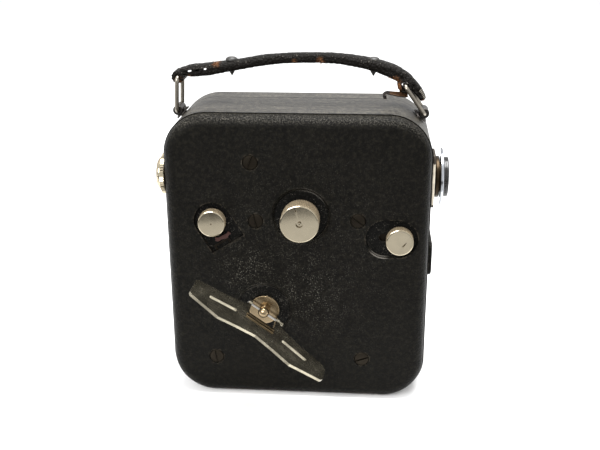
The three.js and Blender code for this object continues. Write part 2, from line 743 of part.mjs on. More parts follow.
function driveKnob() {
  const { radius, face, back } = DRIVE_KNOB;
  const above = face - CUT_PAST;
  const bore = turnedY(rod(SHAFT.drive + 0.06, face + 1.7, back + 1), DRIVE.x, DRIVE.z, 20);
  const centreRing = turnedY(ring(1.2, 1.7, above, face + 0.25), DRIVE.x, DRIVE.z, 20);
  const centreHole = turnedY(rod(0.55, above, face + 0.8), DRIVE.x, DRIVE.z, 12);
  const dot = turnedY(rod(0.45, above, face + 0.3), DRIVE.x, DRIVE.z + 4.6, 12);
  return turnedKnob(DRIVE.x, DRIVE.z, radius, face, back)
    .subtract(bore)
    .subtract(centreRing)
    .subtract(centreHole)
    .subtract(dot);
}

function thirdPinion() {
  return gearPrism(THIRD_PINION, THIRD, thirdPhase, ...LAYER.thirdPinion)
    .add(turnedY(rod(SHAFT.third, PIVOT_FRONT, PIVOT_BACK), THIRD.x, THIRD.z, 16))
    .add(turnedY(rod(1.7, -9.4, -5.7), THIRD.x, THIRD.z, 16));
}

function crankShaft() {
  const { crank, second } = SHAFT;
  const [step, shoulder, end] = [-12, 2.2, 3.2];
  return gearPrism(CRANK_PINION, CRANK, crankPhase, ...LAYER.crankPinion)
    .add(turnedY([[0, PIVOT_FRONT], [second, PIVOT_FRONT], [second, step], [crank, step],
      [crank, shoulder], [1, shoulder], [1, end], [0, end]], CRANK.x, CRANK.z, 16))
    .add(turnedY(rod(2.4, -10.6, -9.5), CRANK.x, CRANK.z, 20));
}

const CRANK_THROW = 3.77;

function crankDisc() {
  return turnedY(ring(1.06, 4.9, 2.3, 3.3), CRANK.x, CRANK.z, 20)
    .add(turnedY(rod(0.7, 3.1, 5.6), CRANK.x + CRANK_THROW, CRANK.z, 12));
}

function governorDisc() {
  return turnedY([[1.08, -15.8], [6.4, -15.8], [6.4, -15], [2.2, -15], [2.2, -14.3],
    [1.08, -14.3], [1.08, -15.8]], CRANK.x, CRANK.z, 20);
}

// a leaf spring bowed away from the shaft with a small weight at its middle
function governorSpring(side) {
  const leaf = shapeOf([[1.7, -14], [2.1, -14], [4.3, -12.4], [2.9, -10.9], [2.5, -10.9],
    [3.8, -12.4]]);
  const geometry = new THREE.ExtrudeGeometry(leaf, { depth: 1.6, bevelEnabled: false });
  geometry.translate(0, 0, -0.8);
  return solid(geometry)
    .add(box(4, 6, -13.3, -11.5, -1.4, 1.4))
    .rotate([0, side > 0 ? 0 : 180, 0])
    .translate([CRANK.x, 0, CRANK.z]);
}

// ---------------------------------------------------------------- film transport
// the yoke stands well clear of the crank pin, above and below it
const YOKE = { inner: 4.8, outer: 5.9, innerRise: 8.2, outerRise: 9.3, front: 3.7, back: 4.9 };
const CLAW_STROKE = 3.6;

function clawFrame() {
  const { inner, outer, innerRise, outerRise, front, back } = YOKE;
  const { x, z } = CRANK;
  const tail = { half: 2, bottom: CLAW_POST.z - 6.3 };
  const reach = CLAW_STROKE + 0.5;
  const arm = { low: z + 4.8, high: z + 5.9, tip: 31.4, front: 7.7, back: 9.3 };
  return box(x - outer, x + outer, front, back, z - outerRise, z + outerRise)
    .subtract(box(
      x - inner, x + inner,
      front - CUT_PAST, back + CUT_PAST,
      z - innerRise, z + innerRise,
    ))
    .add(box(x - tail.half, x + tail.half, front, back, tail.bottom, z - outerRise + 0.5))
    .subtract(prismY(
      slotShape(CLAW_POST.x, CLAW_POST.z - reach, CLAW_POST.x, CLAW_POST.z + reach, 1.05),
      front - CUT_PAST,
      back + CUT_PAST,
    ))
    .add(box(x - outer, x - inner, back - 0.5, arm.back, arm.low, arm.high))
    .add(box(arm.tip, x - outer + 0.5, arm.front, arm.back, arm.low, arm.high));
}

function shutterBlade() {
  const bottom = CRANK.z + YOKE.outerRise + 0.15;
  return box(36, 36.6, YOKE.front, 13.4, bottom, bottom + 7.2);
}

function filmGate() {
  const [x0, x1] = [32.2, 33];
  return box(x0, x1, 2.1, 15, 68, 94)
    .subtract(box(x0 - 1, x1 + 1, 4.25, 12.75, 80.8, 87.2))
    .subtract(box(x0 - 1, x1 + 1, 7.3, 9.7, 71, 81))
    .add(box(29.5, x0 + 0.2, 2.1, 2.9, 88, 94));
}

// ---------------------------------------------------------------- controls
function smallKnob(x, z, mark) {
  const { radius, face, back, stem } = SMALL_KNOB;
  return turnedKnob(x, z, radius, face, back)
    .add(turnedY(rod(stem, back - 0.5, SLIDE.back), x, z, 16))
    .subtract(mark);
}

function lockKnob() {
  const dot = turnedY(rod(0.4, SMALL_KNOB.face - 1, SMALL_KNOB.face + 0.2), LOCK.x, LOCK.z, 10);
  return smallKnob(LOCK.x, LOCK.z, dot);
}

// the release knob's face carries a small cut arrowhead near its rim
function releaseKnob() {
  const arrow = shapeOf([[2.2, -1.9], [3.5, -1.6], [2.3, -0.8]].map(([x, z]) => [
    RELEASE.x + x,
    RELEASE.z + z,
  ]));
  const cut = prismY(arrow, SMALL_KNOB.face - 1, SMALL_KNOB.face + 0.25);
  return smallKnob(RELEASE.x, RELEASE.z, cut);
}

function lockSlide() {
  const hole = turnedY(rod(SMALL_KNOB.stem + 0.08, -21, -17), 0, 0, 16);
  return box(-9, 9, SLIDE.front, SLIDE.back, -5.6, 5.6)
    .subtract(hole)
    .rotate([0, -LOCK.angle, 0])
    .translate([LOCK.x, 0, LOCK.z]);
}

// the slide carries a finger that reaches back beside the governor disc and stops it
function releaseSlide() {
  const { x, z } = RELEASE;
  return box(x - 10, x + 7.5, SLIDE.front, SLIDE.back, 61.8, 73.4)
    .add(box(x - 0.4, x + 2.2, SLIDE.back - 0.5, -14.6, 61.8, 63.5))
    .subtract(turnedY(rod(SMALL_KNOB.stem + 0.08, -21, -17), x, z, 16));
}

// a bent leaf that pushes the release slide back, its foot on the movement plate
function releaseSpring() {
  const shape = shapeOf([[33, 52], [37, 52], [37, 53], [34, 53], [21.6, 60.6], [21.6, 66],
    [20.9, 66], [20.9, 60.2]]);
  return prismY(shape, SLIDE.front, SLIDE.back);
}

// ---------------------------------------------------------------- handle
function lug(side) {
  const link = side < 0 ? LEFT_LINK : RIGHT_LINK;
  const centre = { x: side * (SIDE - CASE.corner), z: CASE.height - CASE.corner };
  const foot = turnedZ([[0, 13], [1.55, 13], [1.55, 16.8], [3.2, 16.8], [3.2, 17.3],
    [1.7, LUG.reach], [0, LUG.reach]], 0, 0, 16)
    .rotate([0, side * 45, 0])
    .translate([centre.x, 0, centre.z]);
  const eye = turnedY(rod(LUG.outer, -LUG.halfWidth, LUG.halfWidth), link.x, link.z, 20);
  return foot
    .add(eye)
    .subtract(turnedY(rod(LUG.wireHole, -9, 9), link.x, link.z, 16));
}

// a rectangular wire link between its lug and the strap
function wireLink({ x, z, topX, topZ }) {
  const up = new THREE.Vector3(topX - x, 0, topZ - z);
  const height = up.length();
  up.normalize();
  const across = new THREE.Vector3(0, 1, 0);
  const normal = up.clone().cross(across);
  const corner = 1.4;
  const points = roundedPoints(2 * WIRE.halfWidth, height, corner, 2).map(([u, v]) => (
    new THREE.Vector3(x, 0, z)
      .addScaledVector(across, u)
      .addScaledVector(up, v + height / 2)
  ));
  return wireLoop(points, normal, WIRE.radius);
}

// the strap's line, its half thickness and half width along the way
const STRAP = [
  { x: -45.6, z: 127.0, half: 1.1, wide: 4.3 },
  { x: -41.5, z: 126.9, half: 2.35, wide: 4.4 },
  { x: -34, z: 127.7, half: 2.4, wide: 4.6 },
  { x: -24, z: 129.3, half: 2.1, wide: 4.4 },
  { x: -12, z: 131.3, half: 2.1, wide: 3.6 },
  { x: 1, z: 132.2, half: 2.0, wide: 3.4 },
  { x: 14, z: 131.9, half: 2.1, wide: 3.6 },
  { x: 25, z: 130.3, half: 2.3, wide: 4.4 },
  { x: 33, z: 128.0, half: 2.6, wide: 4.6 },
  { x: 38.6, z: 125.2, half: 2.6, wide: 4.3 },
  { x: 42.2, z: 122.4, half: 2.1, wide: 3.95 },
  { x: 44.6, z: 119.8, half: 1.4, wide: 3.9 },
  { x: 46.4, z: 117.2, half: 0.8, wide: 3.8 },
];
// gaps left between the strap's two layers where its left-hand end is folded back
const STRAP_GAPS = [[-42.3, 126.6], [-39.3, 127.0], [-36.3, 127.4]];
const STRAP_GAP_RADIUS = 0.45;

// an oval of leather standing square to the strap's line
function strapSection(centre, tangent, half, wide) {
  const normal = new THREE.Vector2(-tangent.y, tangent.x);
  return Array.from({ length: 10 }, (_, k) => {
    const angle = (2 * Math.PI * k) / 10;
    const up = half * Math.sign(Math.sin(angle)) * Math.abs(Math.sin(angle)) ** 0.7;
    const out = wide * Math.sign(Math.cos(angle)) * Math.abs(Math.cos(angle)) ** 0.7;
    return [centre.x + normal.x * up, out, centre.y + normal.y * up];
  });
}

const RIVETS = [{ x: -26, z: 129.5 }, { x: 27.5, z: 129.8 }];

function handleStrap() {
  const line = new THREE.CatmullRomCurve3(STRAP.map(({ x, z }) => new THREE.Vector3(x, z, 0)));
  const size = new THREE.CatmullRomCurve3(STRAP.map(({ half, wide }) => (
    new THREE.Vector3(half, wide, 0)
  )));
  const steps = 20;
  const sections = [];
  for (let i = 0; i <= steps; i += 1) {
    const centre = line.getPoint(i / steps);
    const tangent = line.getTangent(i / steps);
    const { x: half, y: wide } = size.getPoint(i / steps);
    sections.push(strapSection(centre, tangent, half, wide));
  }
  let body = skin(sections);
  const eyes = [[LEFT_LINK, EYE.leftHole], [RIGHT_LINK, EYE.rightHole]];
  for (const [link, hole] of eyes) {
    const tube = rod(hole + EYE.wall, -EYE.halfWidth, EYE.halfWidth);
    body = body.add(turnedY(tube, link.topX, link.topZ, 16));
  }
  for (const [link, hole] of eyes) {
    body = body.subtract(turnedY(rod(hole, -9, 9), link.topX, link.topZ, 16));
  }
  for (const { x } of RIVETS) {
    body = body.subtract(turnedZ(rod(0.8, 120, 140), x, 0, 12));
  }
  for (const [x, z] of STRAP_GAPS) {
    body = body.subtract(turnedY(rod(STRAP_GAP_RADIUS, -9, 9), x, z, 8));
  }
  return body;
}

function strapRivet({ x, z }) {
  const [top, below] = [z + 2.7, z - 4.4];
  return turnedZ([[0, below], [0.7, below + 1.5], [0.7, top], [2.1, top], [1.9, top + 0.5],
    [1.1, top + 1], [0, top + 1.2]], x, 0, 12);
}

// a torn tongue of leather hanging inwards from the right-hand eye
function strapFlap() {
  const halfWidth = 2.6;
  const line = [[40.6, -0.5, 118.7], [38.6, -1.2, 118.6], [36.2, -2.2, 119.0], [33.8, -2.9, 118.9],
    [32.0, -3.1, 118.4], [31.2, -3.2, 117.9]];
  const sections = line.map(([x, y, z], i) => {
    const lift = i === 0 || i === line.length - 1 ? 0.3 : 0.45;
    const [near, far] = [y - halfWidth, y + halfWidth];
    return [[x, near, z - lift], [x, far, z - lift], [x, far, z + lift], [x, near, z + lift]];
  });
  return skin(sections);
}

// ---------------------------------------------------------------- materials
const FINISHES = {
  leather: { color: 0x17161a, roughness: 0.62, metalness: 0 },
  nickel: { color: 0xc9bda8, roughness: 0.25, metalness: 1 },
  steel: { color: 0x8d8a86, roughness: 0.35, metalness: 1 },
  dull_steel: { color: 0x4b4640, roughness: 0.55, metalness: 0.8 },
  brass: { color: 0xb4945a, roughness: 0.35, metalness: 1 },
  black_paint: { color: 0x1b1b1c, roughness: 0.4, metalness: 0.1 },
  blued_steel: { color: 0x23283a, roughness: 0.3, metalness: 1 },
  glass: { color: 0xdfe8ee, roughness: 0.05, metalness: 0 },
};

const camera = new THREE.Group();
camera.name = "clockwork_cine_camera";

function place(name, body, finish) {
  const mesh = body.getMesh();
  const geometry = new THREE.BufferGeometry();
  geometry.setAttribute("position", new THREE.BufferAttribute(mesh.vertProperties, 3));
  geometry.setIndex(new THREE.BufferAttribute(mesh.triVerts, 1));
  geometry.computeVertexNormals();
  const piece = new THREE.Mesh(geometry, new THREE.MeshStandardMaterial(FINISHES[finish]));
  piece.name = name;
  camera.add(piece);
}

place("main_case", mainCase(), "leather");
place("motor_cover", motorCover(), "leather");
for (const [name, screw] of Object.entries(SCREWS)) place(name, coverScrew(screw), "dull_steel");
place("tripod_bush", tripodBush(), "brass");
place("film_door", filmDoor(), "leather");
place("door_catch", doorCatch(), "leather");
place("hinge_case_leaf", hingeCaseLeaf(), "black_paint");
place("hinge_door_leaf", hingeDoorLeaf(), "black_paint");
place("hinge_pin", hingePin(), "steel");

place("lens_flange", lensFlange(), "nickel");
place("lens_barrel", lensBarrel(), "brass");
place("aperture_ring", apertureRing(), "nickel");
place("lens_front_ring", lensFrontRing(), "black_paint");
place("lens_front_glass", glassX(4.35, SIDE + 4.4, SIDE + 5.6, 0.6, 1, LENS.y, LENS.z), "glass");
place("lens_rear_glass", glassX(4.35, SIDE - 3.6, SIDE - 2.6, 0.7, 0.4, LENS.y, LENS.z), "glass");
place("finder_eyepiece", finderEyepiece(), "nickel");
place("finder_eyepiece_glass",
  glassX(4.15, -SIDE - 2.2, -SIDE - 1.4, 0, 0.4, FINDER.y, FINDER.z, 16), "glass");
place("finder_front_frame", finderFrontFrame(), "black_paint");
place("finder_front_glass",
  glassX(4.15, SIDE - 2.2, SIDE - 1.4, 0.4, 0, FINDER.y, FINDER.z, 16), "glass");

place("movement_plate", movementPlate(), "brass");
place("winding_arbor", windingArbor(), "nickel");
place("key_pin", keyPin(), "steel");
place("winding_key", windingKey(), "nickel");
place("ratchet_wheel", ratchetWheel(), "steel");
place("click", click(), "steel");
place("click_spring", clickSpring(), "blued_steel");
place("spring_barrel", springBarrel(), "brass");
place("mainspring", mainspring(), "blued_steel");
place("second_pinion", secondPinion(), "steel");
place("second_wheel", wheel(SECOND_WHEEL, SECOND, secondPhase, 2, LAYER.secondWheel), "brass");
place("drive_shaft", driveShaft(), "steel");
place("drive_knob", driveKnob(), "nickel");
place("drive_wheel", wheel(DRIVE_WHEEL, DRIVE, drivePhase, 2.5, LAYER.driveWheel), "brass");
place("third_pinion", thirdPinion(), "steel");
place("third_wheel", wheel(THIRD_WHEEL, THIRD, thirdPhase, 1.8, LAYER.thirdWheel), "brass");
place("crank_shaft", crankShaft(), "steel");
place("crank_disc", crankDisc(), "steel");
place("governor_disc", governorDisc(), "brass");
place("governor_spring_upper", governorSpring(1), "blued_steel");
place("governor_spring_lower", governorSpring(-1), "blued_steel");
place("claw_frame", clawFrame(), "steel");
place("shutter_blade", shutterBlade(), "black_paint");
place("film_gate", filmGate(), "nickel");

place("release_knob", releaseKnob(), "nickel");
place("release_slide", releaseSlide(), "steel");
place("release_spring", releaseSpring(), "blued_steel");
place("lock_knob", lockKnob(), "nickel");
place("lock_slide", lockSlide(), "steel");

place("handle_lug_left", lug(-1), "dull_steel");
place("handle_lug_right", lug(1), "dull_steel");
place("handle_link_left", wireLink(LEFT_LINK), "steel");
place("handle_link_right", wireLink(RIGHT_LINK), "steel");
place("handle_strap", handleStrap(), "leather");
place("strap_rivet_left", strapRivet(RIVETS[0]), "dull_steel");
place("strap_rivet_right", strapRivet(RIVETS[1]), "dull_steel");
place("strap_flap", strapFlap(), "leather");

export default camera;
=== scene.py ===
"""Looks for the clockwork cine camera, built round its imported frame."""

import math
import random
from functools import reduce

import bmesh
import bpy
from mathutils import Matrix, Vector, noise


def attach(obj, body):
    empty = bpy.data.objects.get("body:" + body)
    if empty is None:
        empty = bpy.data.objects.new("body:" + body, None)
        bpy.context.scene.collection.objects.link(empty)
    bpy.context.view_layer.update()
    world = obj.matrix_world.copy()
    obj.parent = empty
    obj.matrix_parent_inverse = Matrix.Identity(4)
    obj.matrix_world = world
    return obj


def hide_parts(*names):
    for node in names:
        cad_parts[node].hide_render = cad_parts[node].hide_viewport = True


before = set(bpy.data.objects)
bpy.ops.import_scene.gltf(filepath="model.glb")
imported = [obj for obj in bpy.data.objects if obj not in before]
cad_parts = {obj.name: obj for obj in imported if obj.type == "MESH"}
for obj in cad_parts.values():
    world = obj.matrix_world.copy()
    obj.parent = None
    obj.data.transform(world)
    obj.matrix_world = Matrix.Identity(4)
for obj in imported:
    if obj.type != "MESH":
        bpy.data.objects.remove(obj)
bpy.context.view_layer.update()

MM = 0.001

# ------------------------------------------------------------------ sizes, in millimetres
WIDTH, HEIGHT, CORNER = 100, 115, 16.5
SIDE = WIDTH / 2
COVER_FACE, COVER_INSIDE, RECESS_FLOOR, RECESS_INSIDE = -22.5, -20.9, -21, -19.8
COVER_SEAM, PARTITION_FRONT, PARTITION_BACK = -18, 0, 1.8
DOOR_SEAM, DOOR_INSIDE, DOOR_BACK = 8.5, 20.9, 22.5
EDGE = 4.3
GAP = 0.3
BARREL = (-12.7, 37.7)
SECOND = (9.53, 56.0)
DRIVE = (1.8, 76.6)
THIRD = (20.5, 72.3)
CRANK = (39.6, 70.8)
LOCK, LOCK_ANGLE, LOCK_TRAVEL = (-31.6, 74.2), -58, 5
RELEASE, RELEASE_TRAVEL = (38.7, 68.5), 6
SCREWS = {
    "cover_screw_top": (-16.9, 97.3, 70),
    "cover_screw_middle_left": (-15.3, 74.5, -75),
    "cover_screw_middle_right": (23.1, 75.4, -36),
    "cover_screw_low_left": (-32.1, 16.9, -80),
    "cover_screw_low_right": (25.5, 17.8, 20),
}
LENS = (8.5, 84)
FINDER = (-11, 89.3)
KEY_PIN_Y, KEY_TURN, KEY_STAND = -24, 35.5, 83
LEFT_LINK = (-46.9, 112.1, -46.2, 125)
RIGHT_LINK = (46.9, 112.1, 39.4, 122.6)
LINK_WIDTH, LINK_WIRE = 10.4, 0.8
PIN_BORE = 0.83

# the fitted camera: pixels, then millimetres and degrees of yaw, pitch and roll
IMAGE_WIDTH, FOCAL_LENGTH, SENSOR = 600, 885, 36
CAMERA_PLACE, CAMERA_TURN = (26.8, -332.2, 187.8), (4.68, 20.2, -0.28)


# ------------------------------------------------------------------ camera
def make_camera():
    data = bpy.data.cameras.new("view")
    data.sensor_width = SENSOR
    data.lens = FOCAL_LENGTH / IMAGE_WIDTH * SENSOR
    data.clip_start = 0.01
    camera = bpy.data.objects.new("view", data)
    bpy.context.scene.collection.objects.link(camera)
    yaw, pitch, roll = (math.radians(a) for a in CAMERA_TURN)
    forward = Vector((-math.sin(yaw) * math.cos(pitch), math.cos(yaw) * math.cos(pitch),
                      -math.sin(pitch)))
    level = Vector((math.cos(yaw), math.sin(yaw), 0))
    above = level.cross(forward)
    right = math.cos(roll) * level + math.sin(roll) * above
    up = -math.sin(roll) * level + math.cos(roll) * above
    turn = Matrix((right, up, -forward)).transposed()
    camera.matrix_world = Matrix.Translation(Vector(CAMERA_PLACE) * MM) @ turn.to_4x4()
    bpy.context.scene.camera = camera


make_camera()


# ------------------------------------------------------------------ mesh building
def mesh_object(name, points, faces):
    mesh = bpy.data.meshes.new(name)
    mesh.from_pydata([Vector(p) * MM for p in points], [], faces)
    mesh.validate()
    obj = bpy.data.objects.new(name, mesh)
    bpy.context.scene.collection.objects.link(obj)
    return outward(obj)


def outward(obj):
    work = bmesh.new()
    work.from_mesh(obj.data)
    bmesh.ops.remove_doubles(work, verts=work.verts, dist=1e-7)
    bmesh.ops.recalc_face_normals(work, faces=work.faces)
    work.to_mesh(obj.data)
    work.free()
    return obj


def turns(steps):
    """Equally spaced angles of one full turn."""
    return [2 * math.pi * i / steps for i in range(steps)]


def band_faces(start, after, count):
    """The faces between two rings of points, from the number of each ring's first point."""
    return [(start + i, start + (i + 1) % count, after + (i + 1) % count, after + i)
            for i in range(count)]


def ring_faces(start, count):
    return [tuple(range(start, start + count))]


def skin(name, sections, closed=False):
    """A closed skin through sections with equal point counts; `closed` joins last to first."""
    count = len(sections[0])
    faces = []
    for s in range(len(sections) if closed else len(sections) - 1):
        faces += band_faces(s * count, (s + 1) % len(sections) * count, count)
    if not closed:
        faces += ring_faces(0, count) + ring_faces((len(sections) - 1) * count, count)
    return mesh_object(name, [p for section in sections for p in section], faces)


def prism_y(name, outline, y0, y1):
    return skin(name, [[(x, y, z) for x, z in outline] for y in (y0, y1)])


def circle(x, z, radius, steps=64):
    return [(x + radius * math.cos(a), z + radius * math.sin(a)) for a in turns(steps)]


AXES = {
    "y": lambda centre, u, v, t: (centre[0] + u, t, centre[1] + v),
    "x": lambda centre, u, v, t: (t, centre[0] + u, centre[1] + v),
    "z": lambda centre, u, v, t: (centre[0] + u, centre[1] + v, t),
}


def turned(name, profile, centre, axis="y", steps=64, wobble=None):
    """A turned piece. The profile is [(radius, station)], ends on the axis or closes on itself."""
    ring = profile[0] == profile[-1]
    stations = profile[:-1] if ring else profile
    place = AXES[axis]
    points, rings = [], []
    for radius, station in stations:
        if radius == 0:
            rings.append([len(points)] * steps)
            points.append(place(centre, 0, 0, station))
            continue
        rings.append(list(range(len(points), len(points) + steps)))
        for i, angle in enumerate(turns(steps)):
            r = radius if wobble is None else wobble(radius, station, i)
            points.append(place(centre, r * math.cos(angle), r * math.sin(angle), station))
    faces = []
    spans = len(rings) if ring else len(rings) - 1
    for s in range(spans):
        low, high = rings[s], rings[(s + 1) % len(rings)]
        for i in range(steps):
            j = (i + 1) % steps
            corners = [low[i], low[j], high[j], high[i]]
            face = [c for k, c in enumerate(corners) if c not in corners[:k]]
            if len(face) > 2:
                faces.append(face)
    return mesh_object(name, points, faces)


def rounded(width, height, corner, steps):
    points = []
    for sx, sz, start in ((1, 1, 0), (-1, 1, 90), (-1, -1, 180), (1, -1, 270)):
        for i in range(steps + 1):
            angle = math.radians(start + 90 * i / steps)
            points.append((
                sx * (width / 2 - corner) + corner * math.cos(angle),
                sz * (height / 2 - corner) + corner * math.sin(angle),
            ))
    return points


def outline(inset, steps=20):
    shape = rounded(WIDTH - 2 * inset, HEIGHT - 2 * inset, CORNER - inset, steps)
    return [(x, z + HEIGHT / 2) for x, z in shape]


def lid(name, seam, face, inset, edge, steps=10):
    """A lid of the case outline, flat at its seam and rounded over at its outer face."""
    way = 1 if face > seam else -1
    sections = [[(x, seam, z) for x, z in outline(inset)]]
    for i in range(steps + 1):
        angle = math.pi / 2 * i / steps
        drawn = inset + edge * (1 - math.cos(angle))
        y = face - way * edge * (1 - math.sin(angle))
        sections.append([(x, y, z) for x, z in outline(drawn)])
    return skin(name, sections)


def rod(radius, low, high):
    """The profile of a plain round rod."""
    return [(0, low), (radius, low), (radius, high), (0, high)]


def plate_sections(centre, size, corner, insets):
    """Rounded rectangles across the X axis, one to each (station, inset)."""
    shape = rounded(*size, corner, 8)
    return [[(x, centre[0] + u * (1 - 2 * inset / size[0]), centre[1] + v * (1 - 2 * inset / size[1]))
             for u, v in shape] for x, inset in insets]


def block(name, low, high):
    (x0, y0, z0), (x1, y1, z1) = low, high
    return prism_y(name, [(x0, z0), (x1, z0), (x1, z1), (x0, z1)], y0, y1)


def slot_outline(x0, z0, x1, z1, radius, steps=16):
    direction = math.atan2(z1 - z0, x1 - x0)
    points = []
    for x, z, start in ((x0, z0, direction + math.pi / 2), (x1, z1, direction - math.pi / 2)):
        for i in range(steps + 1):
            angle = start + math.pi * i / steps
            points.append((x + radius * math.cos(angle), z + radius * math.sin(angle)))
    return points


def bake(obj):
    """Applies the object's modifiers."""
    graph = bpy.context.evaluated_depsgraph_get()
    mesh = bpy.data.meshes.new_from_object(obj.evaluated_get(graph))
    obj.modifiers.clear()
    obj.data = mesh
    return obj


def combine(base, others, operation):
    """Booleans several objects into the base and removes them."""
    for other in others:
        modifier = base.modifiers.new("join", "BOOLEAN")
        modifier.operation = operation
        modifier.solver = "EXACT"
        modifier.object = other
        bake(base)
        bpy.data.objects.remove(other)
    return base


def cut(base, *others):
    return combine(base, others, "DIFFERENCE")


def join(base, *others):
    return combine(base, others, "UNION")


def soften(obj, width, segments=2, angle=35):
    """Rounds the sharp edges by a width in millimetres."""
    modifier = obj.modifiers.new("edges", "BEVEL")
    modifier.width = width * MM
    modifier.segments = segments
    modifier.limit_method = "ANGLE"
    modifier.angle_limit = math.radians(angle)
    modifier.use_clamp_overlap = True
    return bake(obj)


def smooth(obj, angle=21):
    """Smooth shading that breaks at sharp edges and leaves the large flats flat."""
    obj.data.shade_smooth()
    obj.data.set_sharp_from_angle(angle=math.radians(angle))
    modifier = obj.modifiers.new("normals", "WEIGHTED_NORMAL")
    modifier.keep_sharp = True
    return bake(obj)


def turn_about(obj, matrix):
    obj.data.transform(matrix)
    return obj


def spin(degrees, axis, point=(0, 0, 0)):
    centre = Vector(point) * MM
    return (
        Matrix.Translation(centre)
        @ Matrix.Rotation(math.radians(degrees), 4, axis)
        @ Matrix.Translation(-centre)
    )


def shift(x, y, z):
    return Matrix.Translation(Vector((x, y, z)) * MM)


def finish_piece(obj, body, material, slot, *nodes):
    obj.data.materials.clear()
    obj.data.materials.append(material)
    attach(obj, body)
    if nodes:
        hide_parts(*nodes)
    return obj


# ------------------------------------------------------------------ materials
SOCKETS = {
    "color": "Base Color", "rough": "Roughness", "metal": "Metallic", "ior": "IOR",
    "specular": "Specular IOR Level", "transmission": "Transmission Weight",
}


def shade(tone, share):
    return tuple(c * share for c in tone)


class Nodes:
    """Short hand for building one material's nodes."""

    def __init__(self, name):
        self.material = bpy.data.materials.new(name)
        self.material.use_nodes = True
        self.tree = self.material.node_tree
        self.shader = self.tree.nodes["Principled BSDF"]
        self.position = self.add("ShaderNodeTexCoord").outputs["Object"]

    def add(self, kind, **values):
        node = self.tree.nodes.new(kind)
        for key, value in values.items():
            setattr(node, key, value)
        return node

    def feed(self, source, socket):
        """Sets a number or a colour on a socket, or links another node's output to it."""
        if isinstance(source, tuple):
            socket.default_value = (*source, 1)
        elif isinstance(source, (int, float)):
            socket.default_value = source
        else:
            self.tree.links.new(source, socket)

    def scaled(self, size, stretch=(1, 1, 1), shift_by=(0, 0, 0)):
        """Object coordinates in units of `size` millimetres."""
        mapping = self.add("ShaderNodeMapping")
        mapping.inputs["Scale"].default_value = [s / (size * MM) for s in stretch]
        mapping.inputs["Location"].default_value = shift_by
        self.feed(self.position, mapping.inputs["Vector"])
        return mapping.outputs["Vector"]

    def noise(self, size, detail=4, rough=0.6, **placing):
        """Noise whose blobs are about `size` millimetres across."""
        node = self.add("ShaderNodeTexNoise")
        node.inputs["Scale"].default_value = 1
        node.inputs["Detail"].default_value = detail
        node.inputs["Roughness"].default_value = rough
        self.feed(self.scaled(size, **placing), node.inputs["Vector"])
        return node.outputs["Fac"]

    def cells(self, size):
        node = self.add("ShaderNodeTexVoronoi")
        node.inputs["Scale"].default_value = 1
        self.feed(self.scaled(size), node.inputs["Vector"])
        return node.outputs["Distance"]

    def ramp(self, source, *stops):
        node = self.add("ShaderNodeValToRGB")
        elements = node.color_ramp.elements
        while len(elements) < len(stops):
            elements.new(0.5)
        for element, (at, colour) in zip(elements, stops):
            element.position = at
            element.color = (*colour, 1) if isinstance(colour, tuple) else (colour,) * 3 + (1,)
        self.feed(source, node.inputs["Fac"])
        return node.outputs["Color"]

    def step(self, source, off, on):
        """0 at `off`, 1 at `on` and even in between."""
        return self.ramp(source, *sorted([(off, 0.0), (on, 1.0)]))

    def specks(self, cell, full, none, clump, off, on, **noise_values):
        """Round specks, one to a cell, kept where a noise of size `clump` is high."""
        chance = self.step(self.noise(clump, **noise_values), off, on)
        return self.times(self.step(self.cells(cell), none, full), chance)

    def maths(self, operation, a, b=0):
        node = self.add("ShaderNodeMath", operation=operation)
        self.feed(a, node.inputs[0])
        self.feed(b, node.inputs[1])
        return node.outputs["Value"]

    def times(self, *values):
        return reduce(lambda a, b: self.maths("MULTIPLY", a, b), values)

    def plus(self, *values):
        return reduce(lambda a, b: self.maths("ADD", a, b), values)

    def most(self, *values):
        return reduce(lambda a, b: self.maths("MAXIMUM", a, b), values)

    def length(self, *parts):
        return self.maths("SQRT", self.plus(*[self.times(p, p) for p in parts]))

    def mix(self, factor, a, b):
        node = self.add("ShaderNodeMix", data_type="RGBA")
        self.feed(factor, node.inputs[0])
        self.feed(a, node.inputs[6])
        self.feed(b, node.inputs[7])
        return node.outputs[2]

    def part(self, vector, name):
        node = self.add("ShaderNodeSeparateXYZ")
        self.feed(vector, node.inputs[0])
        return node.outputs[name]

    def axis(self, name):
        return self.part(self.position, name)

    def normal_axis(self, name):
        """One part of the surface's normal, in the piece's own frame."""
        return self.part(self.add("ShaderNodeTexCoord").outputs["Normal"], name)

    def away(self, value, middle):
        """The distance of a value from a middle one in millimetres."""
        return self.maths("ABSOLUTE", self.maths("SUBTRACT", value, middle * MM))

    def between(self, value, off, on, **values):
        node = self.add("ShaderNodeMapRange", **values)
        self.feed(value, node.inputs["Value"])
        self.feed(off, node.inputs["From Min"])
        self.feed(on, node.inputs["From Max"])
        return node.outputs["Result"]

    def near(self, point, radius, soft):
        """1 inside a circle in X and Z about a point in millimetres, 0 outside."""
        reach = self.length(self.away(self.axis("X"), point[0]), self.away(self.axis("Z"), point[1]))
        return self.between(reach, (radius + soft) * MM, (radius - soft) * MM,
                            interpolation_type="SMOOTHSTEP")

    def edge_wear(self, radius, low, high):
        """Follows the edges: 1 where the surface turns within a radius in millimetres."""
        bevel = self.add("ShaderNodeBevel", samples=6)
        bevel.inputs["Radius"].default_value = radius * MM
        dot = self.add("ShaderNodeVectorMath", operation="DOT_PRODUCT")
        self.feed(bevel.outputs["Normal"], dot.inputs[0])
        self.feed(self.add("ShaderNodeNewGeometry").outputs["Normal"], dot.inputs[1])
        return self.between(dot.outputs["Value"], high, low)

    def bump(self, height, depth):
        """A bump of a depth in millimetres."""
        node = self.add("ShaderNodeBump")
        node.inputs["Strength"].default_value = 1
        node.inputs["Distance"].default_value = depth * MM
        self.feed(height, node.inputs["Height"])
        self.feed(node.outputs["Normal"], self.shader.inputs["Normal"])

